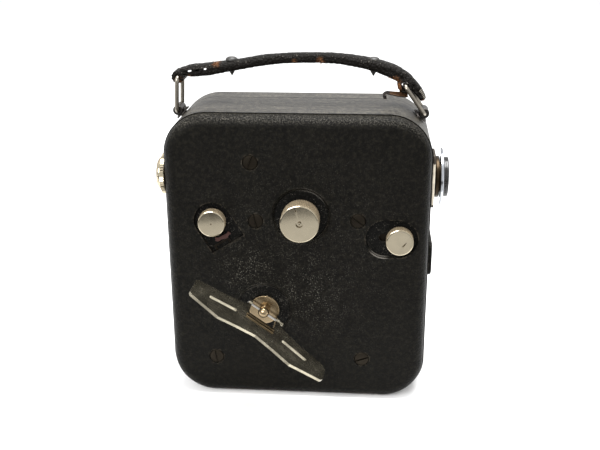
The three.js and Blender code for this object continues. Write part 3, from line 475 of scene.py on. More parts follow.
    def set(self, **values):
        for key, value in values.items():
            self.feed(value, self.shader.inputs[SOCKETS[key]])
        return self.material


def case_leather(name, tint, worn, specular):
    """What both leathers share: cloudy tint, fine grain and rubbed edges."""
    n = Nodes(name)
    n.fine = n.noise(0.5, detail=5, rough=0.7)
    n.coarse = n.noise(1.6, detail=3)
    n.pebble = n.cells(0.8)
    base = n.ramp(n.noise(11, detail=3), (0.35, shade(tint, 0.6)), (0.7, tint))
    crests = n.times(n.fine, n.ramp(n.coarse, (0.35, 0.5), (0.65, 1.4)))
    n.colour = n.mix(n.ramp(crests, (0.42, 0.0), (0.75, 0.8)), base, worn)
    n.edge = n.edge_wear(1.0, 0.84, 0.985)
    rubbed = n.times(n.edge, n.step(n.coarse, 0.45, 0.62), 0.35)
    n.colour = n.mix(rubbed, n.colour, (0.10, 0.082, 0.058))
    n.set(rough=n.ramp(n.fine, (0.3, 0.34), (0.75, 0.5)), specular=specular)
    return n


def add_dust(n):
    """Pale specks, thickest round the key and thin over the rest of the face."""
    thin = n.times(n.near((0, 60), 20, 55), 0.42)
    zone = n.most(n.near((5, 45), 9, 22), n.near((-19, 54), 7, 14), thin)
    fine_specks = n.specks(0.33, 0.20, 0.40, 0.7, 0.46, 0.60, detail=2, shift_by=(3, 1, 5))
    specks = n.most(fine_specks, n.step(n.cells(0.8), 0.23, 0.15))
    clumps = n.ramp(n.noise(4.5, shift_by=(1, 6, 2)), (0.40, 0.2), (0.60, 1.0))
    n.colour = n.mix(n.times(specks, clumps, zone), n.colour, (0.16, 0.15, 0.125))


def add_black_recesses(n):
    """The recess floors are darkened to near black, with a few bright flecks."""
    depth = n.maths("GREATER_THAN", n.axis("Y"), (COVER_FACE + 0.9) * MM)
    front = n.maths("LESS_THAN", n.axis("Y"), (RECESS_FLOOR + 0.2) * MM)
    facing = n.maths("LESS_THAN", n.normal_axis("Y"), -0.9)
    floor = n.times(depth, front, facing)
    n.colour = n.mix(n.times(floor, 0.8), n.colour, (0.0015, 0.0015, 0.0013))
    flecks = n.specks(0.55, 0.16, 0.28, 1.4, 0.50, 0.62, detail=3, shift_by=(8, 2, 3))
    n.colour = n.mix(n.times(flecks, floor), n.colour, (0.11, 0.10, 0.085))


def add_worn_rims_and_highlight(n):
    """Bare edges: an arc over the key and the foot of the release recess. The arc over the drive knob is a
    painted highlight on the lip of its recess.
    """
    # painted highlight: a bright arc painted on the lip of the drive knob's recess
    drive_highlight_arc = n.near((DRIVE[0] + 5.0, DRIVE[1] + 10.4), 5, 3)
    key_arc = n.near((BARREL[0] - 2, BARREL[1] + 10.5), 4, 4)
    zone = n.most(drive_highlight_arc, n.near((31.0, 61.6), 3, 1.5), key_arc)
    n.colour = n.mix(n.times(n.edge, zone), n.colour, (0.20, 0.185, 0.16))


def add_painted_inside(n):
    """Inside the shells the metal is painted matt black, up to near the rounded outline."""
    beyond_x = n.away(n.axis("X"), 0)
    beyond_z = n.away(n.axis("Z"), HEIGHT / 2)
    parts = [
        n.most(n.maths("SUBTRACT", beyond, (half - CORNER) * MM), 0)
        for beyond, half in ((beyond_x, WIDTH / 2), (beyond_z, HEIGHT / 2))
    ]
    within = n.maths("LESS_THAN", n.length(*parts), (CORNER - 1.3) * MM)
    shallow = n.maths("LESS_THAN", n.away(n.axis("Y"), 0), (DOOR_INSIDE + 0.05) * MM)
    black = n.ramp(n.noise(2.2), (0.35, (0.005, 0.005, 0.005)), (0.7, (0.013, 0.012, 0.011)))
    n.colour = n.mix(n.times(within, shallow), n.colour, black)


def add_worn_foot(n):
    """The edge the camera stands on is rubbed brown."""
    low = n.step(n.times(n.axis("Z"), 100), 0.22, 0.04)
    patches = n.step(n.noise(5, shift_by=(2, 2, 9)), 0.38, 0.55)
    n.colour = n.mix(n.times(low, patches), n.colour, (0.075, 0.042, 0.026))


def cover_leather():
    n = case_leather("cover_leather", (0.0030, 0.0027, 0.0019), (0.0085, 0.0076, 0.0052), 0.065)
    add_black_recesses(n)
    add_dust(n)
    add_worn_rims_and_highlight(n)
    add_painted_inside(n)
    add_worn_foot(n)
    # painted highlight: pale glint specks painted on the upward faces, standing in for the sheen on the
    # rounded upper edge
    painted_glints = n.ramp(n.fine, (0.50, 0.0), (0.66, 0.6))
    upper = n.step(n.normal_axis("Z"), 0.25, 0.65)
    n.colour = n.mix(n.times(upper, painted_glints), n.colour, (0.13, 0.12, 0.10))
    n.bump(n.plus(n.times(n.pebble, 0.5), n.fine, n.coarse), 0.22)
    return n.set(color=n.colour)


def band_leather():
    """Greyer leather round the sides, grained along the band, with painted shade where two parts meet."""
    n = case_leather("band_leather", (0.034, 0.031, 0.025), (0.120, 0.107, 0.083), 0.32)
    over = n.noise(0.9, detail=5, rough=0.65, stretch=(0.07, 1, 0.3))
    down = n.noise(0.9, detail=5, rough=0.65, stretch=(0.3, 1, 0.07))
    streaks = n.mix(n.step(n.maths("ABSOLUTE", n.normal_axis("X")), 0.5, 0.8), over, down)
    dark_lines = n.times(n.step(streaks, 0.52, 0.42), 0.85)
    n.colour = n.mix(dark_lines, n.colour, (0.007, 0.006, 0.005))
    # painted shade: a dark band painted along each seam, standing in for the shadow in the gap between the
    # parts
    for seam in (COVER_SEAM, DOOR_SEAM):
        seam_shade = n.maths("LESS_THAN", n.away(n.axis("Y"), seam), 0.55 * MM)
        n.colour = n.mix(n.times(seam_shade, 0.85), n.colour, (0.004, 0.004, 0.004))
    flat = n.step(n.maths("ABSOLUTE", n.normal_axis("Y")), 0.55, 0.9)
    grain = n.ramp(n.times(n.fine, n.pebble), (0.10, (0.004, 0.0037, 0.003)),
                   (0.45, (0.014, 0.013, 0.010)))
    n.colour = n.mix(n.times(flat, 0.94), n.colour, grain)
    add_painted_inside(n)
    add_worn_foot(n)
    n.bump(n.mix(flat, n.plus(streaks, n.times(n.fine, 0.4)), n.plus(n.fine, n.pebble)), 0.25)
    return n.set(color=n.colour, specular=n.maths("SUBTRACT", 0.32, n.times(flat, 0.22)))


def nickel(name, tone, rough, pits=True):
    n = Nodes(name)
    cloud = n.noise(3.2, detail=5)
    colour = n.ramp(cloud, (0.3, shade(tone, 0.86)), (0.7, tone))
    if pits:
        spots = n.specks(1.1, 0.04, 0.09, 2.5, 0.56, 0.64, shift_by=(4, 4, 2))
        colour = n.mix(spots, colour, (0.16, 0.12, 0.08))
    n.bump(n.noise(0.3, detail=3), 0.002)
    return n.set(color=colour, rough=n.ramp(cloud, (0.3, rough), (0.75, rough + 0.1)), metal=1)


def key_nickel(name, tone):
    """Handled and dull: thin grime over worn nickel, with dust lying on it."""
    n = Nodes(name)
    cloud = n.noise(6)
    fine = n.noise(0.35)
    lines = n.noise(0.5, detail=3, stretch=(1, 1, 0.15))
    colour = n.ramp(cloud, (0.35, shade(tone, 0.6)), (0.65, tone))
    colour = n.mix(n.specks(0.5, 0.18, 0.3, 1.1, 0.5, 0.6), colour, (0.75, 0.70, 0.58))
    nicks = n.step(n.noise(0.8, shift_by=(5, 1, 7)), 0.42, 0.34)
    colour = n.mix(n.times(nicks, n.edge_wear(0.4, 0.8, 0.99)), colour, (0.05, 0.04, 0.03))
    n.bump(n.plus(lines, fine), 0.01)
    return n.set(color=colour, rough=n.ramp(cloud, (0.3, 0.17), (0.7, 0.29)), metal=0.965)


def knob_nickel(name, tone, rough):
    """Polished on the face; matt round the knurled side, with grime and a painted reflection that lightens
    the knurl.
    """
    n = Nodes(name)
    cloud = n.noise(3.2, detail=5)
    fine = n.noise(0.3, detail=3)
    colour = n.ramp(cloud, (0.3, shade(tone, 0.84)), (0.7, tone))
    spots = n.specks(1.1, 0.04, 0.09, 2.5, 0.54, 0.64, shift_by=(4, 4, 2))
    colour = n.mix(spots, colour, (0.12, 0.09, 0.06))
    side = n.step(n.maths("ABSOLUTE", n.normal_axis("Y")), 0.8, 0.35)
    # grime in the knurl; the light brown end of this ramp is a painted reflection that brightens the
    # knurled side
    grime_and_painted_reflection = n.ramp(fine, (0.38, (0.05, 0.036, 0.020)), (0.68, (0.40, 0.32, 0.205)))
    polish = n.ramp(cloud, (0.3, rough), (0.75, rough + 0.1))
    n.bump(fine, 0.002)
    return n.set(color=n.mix(side, colour, grime_and_painted_reflection), rough=n.plus(polish, n.times(side, 0.5)),
                 metal=n.maths("SUBTRACT", 1, n.times(side, 0.75)))


def plain_metal(name, tone, rough, depth=0.008):
    n = Nodes(name)
    lines = n.noise(0.5, stretch=(1, 1, 6))
    colour = n.ramp(n.noise(4), (0.3, shade(tone, 0.7)), (0.75, tone))
    n.bump(lines, depth)
    return n.set(color=colour, rough=n.ramp(lines, (0.3, rough * 0.8), (0.75, rough * 1.3)), metal=1)


def paint(name, tone, rough):
    n = Nodes(name)
    wear = n.times(n.edge_wear(0.35, 0.85, 0.99), n.noise(1.2))
    fine = n.noise(0.35)
    colour = n.mix(n.ramp(wear, (0.45, 0.0), (0.65, 0.35)), tone, (0.22, 0.18, 0.13))
    n.bump(fine, 0.01)
    return n.set(color=colour, rough=n.ramp(fine, (0.3, rough), (0.7, rough + 0.15)))


def finder_metal(name):
    """The finder's front frame: black paint rubbed down to pale metal over its middle."""
    n = Nodes(name)
    ragged = n.times(n.noise(1.5), 1.4 * MM)
    bare = n.maths("LESS_THAN", n.plus(n.away(n.axis("Z"), 88.2), ragged), 8.6 * MM)
    tone = n.ramp(n.noise(2.5), (0.3, (0.46, 0.41, 0.33)), (0.7, (0.72, 0.65, 0.53)))
    return n.set(color=n.mix(bare, (0.035, 0.026, 0.018), tone),
                 rough=n.ramp(n.noise(0.6), (0.3, 0.4), (0.7, 0.6)), metal=0.3, specular=0.3)


def glass(name):
    n = Nodes(name)
    smears = n.ramp(n.noise(2.5, detail=2), (0.4, 0.02), (0.8, 0.08))
    return n.set(color=(0.95, 0.97, 1.0), rough=smears, transmission=1.0, ior=1.52)


# where the handle's skin is rubbed through, with the radius of each place
RUBBED = [((-45.6, 123.4), 1.5), ((-41.8, 124.8), 0.9), ((-31.4, 130.2), 1.0), ((-2.0, 131.0), 0.8),
          ((7.8, 131.2), 1.2), ((35.8, 124.6), 1.2), ((36.9, 122.6), 1.3)]


def old_leather(name):
    """Handle leather: pebbled black skin rubbed through to orange-brown here and there, with sparkle
    highlights painted on its upper side.
    """
    n = Nodes(name)
    fine = n.noise(0.5, detail=5, rough=0.7)
    pores = n.cells(0.9)
    ragged = n.noise(1.3, detail=5, rough=0.7, shift_by=(2, 7, 1))
    zone = n.most(n.near(*RUBBED[0], 1.2), *[n.near(at, r, r) for at, r in RUBBED[1:]])
    base = n.ramp(fine, (0.35, (0.0020, 0.0017, 0.0013)), (0.75, (0.0080, 0.0065, 0.0050)))
    brown = n.ramp(fine, (0.35, (0.05, 0.022, 0.010)), (0.7, (0.21, 0.085, 0.028)))
    colour = n.mix(n.times(zone, n.step(ragged, 0.42, 0.56)), base, brown)
    upper = n.step(n.normal_axis("Z"), 0.05, 0.6)
    # painted highlight: pale sparkle specks painted in the pores of the upward faces
    painted_sparkle = n.times(n.step(pores, 0.26, 0.08), upper, n.ramp(ragged, (0.45, 0.1), (0.6, 1.0)))
    n.bump(n.plus(n.times(fine, 0.4), n.times(pores, -1.2)), 0.4)
    return n.set(color=n.mix(painted_sparkle, colour, (0.23, 0.21, 0.175)),
                 rough=n.ramp(fine, (0.3, 0.42), (0.8, 0.62)), specular=0.08)


def flap_leather(name):
    """The torn strip: raw orange-brown along its middle, black towards its curled end."""
    n = Nodes(name)
    fibres = n.noise(0.5, detail=5, rough=0.75, stretch=(0.3, 1, 1))
    raw = n.ramp(fibres, (0.35, (0.035, 0.016, 0.008)), (0.7, (0.22, 0.10, 0.035)))
    black = n.ramp(fibres, (0.3, (0.004, 0.003, 0.003)), (0.8, (0.03, 0.022, 0.015)))
    strip = n.times(n.maths("GREATER_THAN", n.axis("X"), 33.8 * MM),
                    n.maths("GREATER_THAN", n.normal_axis("Z"), 0.3))
    n.bump(fibres, 0.25)
    return n.set(color=n.mix(n.times(strip, 0.85), black, raw),
                 rough=n.ramp(fibres, (0.3, 0.6), (0.7, 0.9)), specular=0.2)


def raw_leather(name, tone):
    n = Nodes(name)
    fibres = n.noise(0.45, detail=5, rough=0.75, stretch=(1, 1, 3))
    n.bump(fibres, 0.25)
    return n.set(color=n.ramp(fibres, (0.3, shade(tone, 0.25)), (0.7, tone)),
                 rough=n.ramp(fibres, (0.3, 0.7), (0.7, 0.95)))


def thread(name, tone):
    n = Nodes(name)
    twist = n.noise(0.25, detail=2)
    n.bump(twist, 0.05)
    return n.set(color=n.ramp(twist, (0.3, shade(tone, 0.25)), (0.7, tone)),
                 rough=n.ramp(twist, (0.3, 0.6), (0.7, 0.85)))


COVER_LEATHER = cover_leather()
BAND_LEATHER = band_leather()
NICKEL = knob_nickel("nickel_plate", (0.50, 0.44, 0.325), 0.06)
HUB_NICKEL = nickel("hub_nickel", (0.32, 0.245, 0.15), 0.2)
KEY_STEEL = key_nickel("key_nickel", (0.46, 0.42, 0.32))
FLANGE_CREAM = nickel("flange_nickel", (0.80, 0.74, 0.62), 0.3, pits=False)
CHROME = nickel("bright_nickel", (0.50, 0.52, 0.55), 0.12, pits=False)
DARK_BRASS = plain_metal("dark_brass", (0.045, 0.032, 0.020), 0.35)
BRASS = plain_metal("brass", (0.62, 0.44, 0.20), 0.3)
STEEL = plain_metal("steel", (0.52, 0.50, 0.47), 0.28)
WIRE_STEEL = plain_metal("wire_steel", (0.34, 0.31, 0.26), 0.32)
DULL_STEEL = plain_metal("dull_steel", (0.055, 0.05, 0.046), 0.35, depth=0.03)
SCREW_STEEL = plain_metal("screw_steel", (0.024, 0.020, 0.015), 0.45, depth=0.02)
SLIDE_STEEL = plain_metal("slide_steel", (0.022, 0.018, 0.014), 0.5, depth=0.02)
BLUED = plain_metal("blued_steel", (0.05, 0.06, 0.12), 0.25)
BLACK_PAINT = paint("black_paint", (0.008, 0.008, 0.008), 0.18)
RIVET_BLACK = paint("rivet_black", (0.022, 0.021, 0.019), 0.38)
FINDER_METAL = finder_metal("rubbed_paint")
GLASS = glass("lens_glass")
STRAP_LEATHER = old_leather("strap_leather")
RAW_LEATHER = raw_leather("raw_leather", (0.20, 0.075, 0.022))
RED_LEATHER = raw_leather("red_lining", (0.060, 0.017, 0.011))
FLAP_LEATHER = flap_leather("flap_leather")
THREAD = thread("waxed_thread", (0.035, 0.027, 0.019))
PALE_THREAD = thread("pale_thread", (0.30, 0.27, 0.22))


# ------------------------------------------------------------------ case
def lens_wall(inset):
    wall = block("lens_wall", (46.3 - inset, DOOR_SEAM - 0.5, 70 - inset),
                 (SIDE + 1, 20.3 + inset, 98 + inset))
    return combine(wall, [lid("trim", DOOR_SEAM - 0.6, DOOR_BACK, 0, EDGE)], "INTERSECT")


def hole_y(x, z, radius, y0, y1):
    return prism_y("hole", circle(x, z, radius, 32), y0, y1)


def hole_x(y, z, radius, x0, x1):
    return turned("hole", rod(radius, x0, x1), (y, z), "x", 48)


def at_shoulder(obj, side):
    """Moves a piece made upright at the origin out to a rounded top corner of the case."""
    turn_about(obj, spin(side * 45, "Y"))
    return turn_about(obj, shift(side * (SIDE - CORNER), 0, HEIGHT - CORNER))


def lug_hole(side):
    return at_shoulder(turned("hole", rod(1.7, 12, 18.2), (0, 0), "z", 24), side)


def case_body():
    body = prism_y("case_body", outline(0), COVER_SEAM + GAP / 2, DOOR_SEAM - GAP / 2)
    cut(
        body,
        prism_y("cavity", outline(2), COVER_SEAM - 1, PARTITION_FRONT),
        prism_y("cavity", outline(2), PARTITION_BACK, DOOR_SEAM + 1),
    )
    join(body, lens_wall(0), hole_y(39.6, 54.6, 0.9, -0.2, 6))
    cut(
        body,
        hole_x(*LENS, 6.6, 40, 52),
        hole_x(*FINDER, 5.2, -52, -46),
        hole_x(*FINDER, 5.2, 46, 52),
        turned("hole", rod(5.3, -1, 4), (0, -9), "z", 48),
        *[hole_y(*arbor, radius, -1, 3) for arbor, radius in
          ((BARREL, 2.1), (SECOND, 1.1), (DRIVE, 1.7), (THIRD, 1.1), (CRANK, 1.5))],
        lug_hole(-1),
        lug_hole(1),
    )
    smooth(soften(body, 0.22))
    return finish_piece(body, "case", BAND_LEATHER, "leather_covering", "main_case")


def arch_outline(radius, length):
    points = []
    for i in range(25):
        angle = math.radians(LOCK_ANGLE + 90 + 7.5 * i)
        points.append((LOCK[0] + radius * math.cos(angle), LOCK[1] + radius * math.sin(angle)))
    along = (math.cos(math.radians(LOCK_ANGLE)), math.sin(math.radians(LOCK_ANGLE)))
    for x, z in (points[-1], points[0]):
        points.append((x + length * along[0], z + length * along[1]))
    return points


def dished_cut(centre):
    return turned("dish", [(0, COVER_FACE - 0.5), (11.3, COVER_FACE - 0.5), (11.3, COVER_FACE),
                           (10.6, COVER_FACE + 0.35), (10.2, COVER_FACE + 0.8),
                           (10.2, RECESS_FLOOR), (0, RECESS_FLOOR)], centre, "y", 72)


def lock_end():
    angle = math.radians(LOCK_ANGLE)
    return LOCK[0] + LOCK_TRAVEL * math.cos(angle), LOCK[1] + LOCK_TRAVEL * math.sin(angle)


def release_recess(radius):
    return slot_outline(33.4, RELEASE[1], 38.1, RELEASE[1], radius)


def cover_shell():
    front = COVER_FACE - 0.5
    pad, recess, through = (COVER_INSIDE - 0.6, RECESS_INSIDE), (front, RECESS_FLOOR), (front, COVER_SEAM)
    body = lid("cover_shell", COVER_SEAM - GAP / 2, COVER_FACE, 0.4, EDGE)
    cut(body, lid("cavity", COVER_SEAM + 1, COVER_INSIDE, 2.2, EDGE - 1.8))
    join(
        body,
        hole_y(*DRIVE, 12.5, *pad),
        hole_y(*BARREL, 12.5, *pad),
        prism_y("pad", arch_outline(8.4, 12.2), *pad),
        prism_y("pad", release_recess(8.7), *pad),
    )
    cut(
        body,
        dished_cut(DRIVE),
        dished_cut(BARREL),
        prism_y("recess", arch_outline(7.2, 11), *recess),
        prism_y("recess", release_recess(7.5), *recess),
        prism_y("slot", slot_outline(*LOCK, *lock_end(), 1.7), *through),
        prism_y("slot", slot_outline(RELEASE[0] - RELEASE_TRAVEL, RELEASE[1], *RELEASE, 1.7), *through),
        hole_y(*DRIVE, 2.2, *through),
        hole_y(*BARREL, 3.3, *through),
        *[hole_y(x, z, 3.0, front, -21.6) for x, z, _ in SCREWS.values()],
        *[hole_y(x, z, 1.4, *through) for x, z, _ in SCREWS.values()],
    )
    smooth(soften(body, 0.25, 3))
    return finish_piece(body, "case", COVER_LEATHER, "leather_covering", "motor_cover")


def door_shell():
    body = lid("door_shell", DOOR_SEAM + GAP / 2, DOOR_BACK, 0, EDGE)
    cut(
        body,
        lid("cavity", DOOR_SEAM - 1, DOOR_INSIDE, 1.8, EDGE - 1.8),
        block("notch", (45.3, DOOR_SEAM - 0.5, 69.7), (SIDE + 1, 20.6, 98.3)),
    )
    smooth(soften(body, 0.22))
    return finish_piece(body, "door", BAND_LEATHER, "leather_covering", "film_door")


def catch_plate():
    insets = [(SIDE + GAP, 0), (SIDE + 1.2, 0), (SIDE + 1.55, 0.2), (SIDE + 1.75, 0.5),
              (SIDE + 1.8, 0.9)]
    body = skin("catch_plate", plate_sections((1, 56.25), (26, 13.5), 2.5, insets))
    smooth(body, 50)
    return finish_piece(body, "door_catch", COVER_LEATHER, "leather_covering", "door_catch")


def cover_screws():
    for name, (x, z, slope) in SCREWS.items():
        profile = [(0, -22.68), (1.6, -22.64), (2.55, -22.5), (2.8, -22.3), (2.85, -21.7),
                   (1.25, -21.7), (1.25, -17), (0, -17)]
        screw = turned(name + "_head", profile, (x, z), "y", 40)
        groove = block("groove", (-4, -24, -0.33), (4, -22.05, 0.33))
        turn_about(groove, shift(x, 0, z) @ spin(-slope, "Y"))
        cut(screw, groove)
        smooth(soften(screw, 0.06))
        finish_piece(screw, "case", SCREW_STEEL, "dull_steel", name)


def around_lock(radius, degrees):
    angle = math.radians(degrees)
    return LOCK[0] + radius * math.cos(angle), LOCK[1] + radius * math.sin(angle)


def lock_lining():
    """A curved scrap of red-brown lining on the recess floor, and the dark window below it."""
    outer = [around_lock(8.6 + 0.3 * math.sin(k * 2.1), -86 + 8 * k) for k in range(7)]
    inner = [around_lock(7.05 + 0.15 * math.sin(k * 1.7), -38 - 8 * k) for k in range(7)]
    scrap = prism_y("lock_lining", outer + inner, RECESS_FLOOR - 0.45, RECESS_FLOOR - 0.05)
    smooth(soften(scrap, 0.2))
    finish_piece(scrap, "case", RED_LEATHER, "strap_leather")
    rim = block("window_rim", (-3.4, RECESS_FLOOR - 0.45, -1.6), (3.4, RECESS_FLOOR - 0.05, 1.6))
    cut(rim, block("window", (-2.6, -23, -0.9), (2.6, -19, 0.9)))
    x, z = around_lock(10.6, LOCK_ANGLE - 12)
    turn_about(rim, shift(x, 0, z) @ spin(-LOCK_ANGLE - 90, "Y"))
    smooth(soften(rim, 0.08))
    finish_piece(rim, "case", SLIDE_STEEL, "dull_steel")


# ------------------------------------------------------------------ knobs and key
def knurl(depth, low, high):
    """Straight knurling between two stations: every other point stands lower."""
    def wobble(radius, station, i):
        if low <= station <= high:
            return radius - (depth if i % 2 else 0)
        return radius
    return wobble


def notched(depth, beyond):
    """Notches in whatever stands out past a radius: every other point stands lower."""
    return lambda radius, station, i: radius - (depth if radius > beyond and i % 2 else 0)


def knob(name, centre, radius, face, back, teeth, extra):
    rim = radius - 0.35
    profile = [(0, face), (rim - 0.25, face), (rim, face + 0.05), (radius - 0.1, face + 0.2),
               (radius, face + 0.5), (radius, face + 0.75), (radius - 0.1, face + 0.8),
               (radius, face + 0.95), (radius, back - 0.35), (radius - 0.3, back), *extra]
    return turned(name, profile, centre, "y", teeth * 2, knurl(0.2, face + 0.9, back - 0.3))


def drive_knob():
    face, back = -30.7, -22.9
    body = knob("knob_drive", DRIVE, 7.2, face, back, 70, [(1.66, back), (1.66, -29), (0, -29)])
    cut(
        body,
        turned("ring", [(0.65, face - 1), (1.3, face - 1), (1.3, face + 0.9), (0.65, face + 0.9),
                        (0.65, face - 1)], DRIVE, "y", 40),
        hole_y(*DRIVE, 0.25, face - 1, face + 0.8),
        hole_y(DRIVE[0] - 1.3, DRIVE[1] + 5.2, 0.42, face - 1, face + 1.2),
    )
    smooth(body)
    return finish_piece(body, "drive_arbor", NICKEL, "nickel_plate", "drive_knob")


def small_knob(name, body_name, centre, node, mark):
    face, back = -26, -21.6
    stem = [(1.5, back), (1.5, -18.3), (0, -18.3)]
    body = knob(name, centre, 5.1, face, back, 48, stem)
    cut(body, mark)
    smooth(body)
    return finish_piece(body, body_name, NICKEL, "nickel_plate", node)


def arrow_mark():
    x, z = RELEASE
    shape = [(x + 0.7, z - 1.6), (x + 1.5, z - 1.5), (x + 2.4, z - 0.1), (x + 2.5, z + 0.3),
             (x + 1.5, z - 0.5)]
    return prism_y("arrow", shape, -27, -25.1)


def key_plate():
    half = 0.55
    right = [(5.75, -1.2), (6.9, -1.2), (7.1, 0.8), (8.6, 2.9), (12.7, 4.6), (18.4, 6.6),
             (28.6, 8.6), (30.6, 10.6), (30.4, 17.0), (29.6, 18.1), (16, 20.6), (8, 18.7)]
    left = [(-8, 18.7), (-16, 20.6), (-28.6, 18.1), (-29.3, 17.0), (-29.2, 8.4), (-28.2, 7.4),
            (-18.4, 5.6), (-12.7, 4.2), (-8.6, 2.9), (-7.1, 0.8), (-6.9, -1.2), (-5.75, -1.2)]
    rim = [*right, (0, 17.2), *left, (-5.75, 6.6), (5.75, 6.6)]
    plate = prism_y("key_plate", rim, -half, half)
    for side in (-1, 1):
        boss = turned("boss", rod(1.25, 5.75, 7), (0, 0), "x", 32)
        if side < 0:
            turn_about(boss, Matrix.Scale(-1, 4, (1, 0, 0)))
            outward(boss)
        join(plate, boss)
        slit = slot_outline(side * 11.2, 10.7, side * 21.2, 12.6, 0.85)
        cut(plate, prism_y("slit", slit, -2, 2))
    cut(plate, turned("bore", rod(PIN_BORE, -9, 9), (0, 0), "x", 24))
    smooth(soften(plate, 0.12))
    place = (
        shift(BARREL[0], KEY_PIN_Y, BARREL[1])
        @ spin(KEY_TURN, "Y")
        @ spin(180 - KEY_STAND, "X")
    )
    turn_about(plate, place)
    for number, low in enumerate((7.3, 9.0)):
        bar = block("key_bar_%d" % number, (-6.2, half + 0.02, low), (6.2, half + 0.4, low + 0.9))
        turn_about(smooth(soften(bar, 0.1)), place)
        finish_piece(bar, "winding_key", HUB_NICKEL, "nickel_plate")
    return finish_piece(plate, "winding_key", KEY_STEEL, "nickel_plate", "winding_key")


def key_hub():
    centre = KEY_PIN_Y
    ball = [(2.2 * math.cos(math.radians(a)), centre + 2.2 * math.sin(math.radians(a)))
            for a in range(-80, 50, 10)]
    profile = [(0, centre - 2.2), *ball, (1.5, -22.3), (1.7, -22), (5.55, -22), (5.8, -21.92),
               (5.9, -21.75), (5.9, -21.3), (3, -21.3), (3, -5), (2, -5), (2, 1.5), (0, 1.5)]
    body = turned("key_hub", profile, BARREL, "y", 48)
    notch = block("notch", (-1.2, -22.6, 1.6), (1.0, -21.4, 4.2))
    groove = block("groove", (-6.5, -22.6, -0.5), (6.5, -21.85, 0.5))
    cut(groove, block("keep", (-2.3, -23, -1), (2.3, -21, 1)))
    turned_in = shift(BARREL[0], 0, BARREL[1]) @ spin(KEY_TURN, "Y")
    hole = turned("hole", rod(PIN_BORE, -4, 4), (KEY_PIN_Y, 0), "x", 24)
    for piece in (notch, groove, hole):
        turn_about(piece, turned_in)
        cut(body, piece)
    smooth(soften(body, 0.05))
    return finish_piece(body, "winding_arbor", HUB_NICKEL, "nickel_plate", "winding_arbor")


def key_pin():
    profile = [(0, -7.4), (0.6, -7.4), (0.72, -7.25), (0.72, -6.9), (0.45, -6.8), (0.45, 6.8),
               (0.72, 6.9), (0.72, 7.25), (0.6, 7.4), (0, 7.4)]
    body = turned("key_cross_pin", profile, (KEY_PIN_Y, 0), "x", 24)
    turn_about(body, shift(BARREL[0], 0, BARREL[1]) @ spin(KEY_TURN, "Y"))
    return finish_piece(smooth(body), "winding_arbor", STEEL, "steel", "key_pin")


# ------------------------------------------------------------------ lens and finder
def lens_piece(name, profile, look, node, body="case", steps=80, wobble=None, angle=21):
    """A turned piece on the lens axis; stations count from the side of the case."""
    profile = [(r, SIDE + t) for r, t in profile]
    piece = smooth(turned(name, profile, LENS, "x", steps, wobble), angle)
    return finish_piece(piece, body, *look, node)


def lens_group():
    lens_piece("lens_seat", [
        (6.15, -3.5), (6.45, -3.5), (6.45, 0.3), (9.25, 0.3), (9.25, 2.0), (9.0, 2.4), (8.8, 2.5),
        (6.15, 2.5), (6.15, -3.5)], (FLANGE_CREAM, "nickel_plate"), "lens_flange")
    lens_piece("lens_tube", [
        (4.5, -4.1), (6, -4.1), (6, 2.8), (8.1, 2.8), (8.3, 3.0), (8.3, 4.0), (8.1, 4.2), (6, 4.2),
        (6, 6.9), (4.5, 6.9), (4.5, -4.1)], (DARK_BRASS, "dark_brass"), "lens_barrel")
    lens_piece("stop_ring", [
        (6.15, 4.5), (11.1, 4.5), (11.4, 4.65), (11.5, 4.9), (11.5, 5.25), (11.35, 5.45),
        (11.1, 5.6), (9.2, 5.6), (9.0, 5.45), (6.15, 5.45), (6.15, 4.5)],
        (CHROME, "nickel_plate"), "aperture_ring", "aperture_ring", 120, notched(0.18, 11.45))
    lens_piece("front_ring", [
        (6.15, 5.9), (7.8, 5.9), (8, 6.05), (8, 6.5), (7.85, 6.6), (7.85, 6.75), (8, 6.85),
        (8, 7.5), (7.8, 7.8), (7.4, 7.9), (4.4, 7.9), (3.6, 7.4), (3.6, 7.1), (6.15, 7.1),
        (6.15, 5.9)], (BLACK_PAINT, "black_paint"), "lens_front_ring")
    lens_piece("front_glass", [
        (0, 3.8), (2, 3.9), (3.4, 4.2), (4.35, 4.5), (4.35, 5.5), (3.4, 6.1), (2, 6.45), (0, 6.6),
    ], (GLASS, "optical_glass"), "lens_front_glass", steps=48, angle=60)


def finder():
    face = -SIDE
    profile = [(3.4, face - 4), (4.4, face - 3.95), (5.2, face - 3.75), (5.9, face - 3.3),
               (6.3, face - 2.7), (6.35, face - 2.05), (7.7, face - 2), (8, face - 1.8),
               (8, face - 0.5), (7.8, face - 0.3), (5, face - 0.3), (5, face + 6), (4.3, face + 6),
               (4.3, face - 2.6), (3.4, face - 3.0), (3.4, face - 4)]
    body = turned("eyepiece_rim", profile, FINDER, "x", 112, notched(0.22, 7.9))
    finish_piece(smooth(body), "case", NICKEL, "nickel_plate", "finder_eyepiece")
    insets = [(SIDE + GAP, 0), (SIDE + 0.9, 0), (SIDE + 1.1, 0.25)]
    frame_piece = skin("front_window", plate_sections(FINDER, (11, 21), 2, insets))
    join(frame_piece, hole_x(*FINDER, 5, SIDE - 6, SIDE + 0.6))
    cut(frame_piece, hole_x(*FINDER, 4.3, SIDE - 7, SIDE + 2))
    finish_piece(smooth(frame_piece), "case", FINDER_METAL, "nickel_plate", "finder_front_frame")


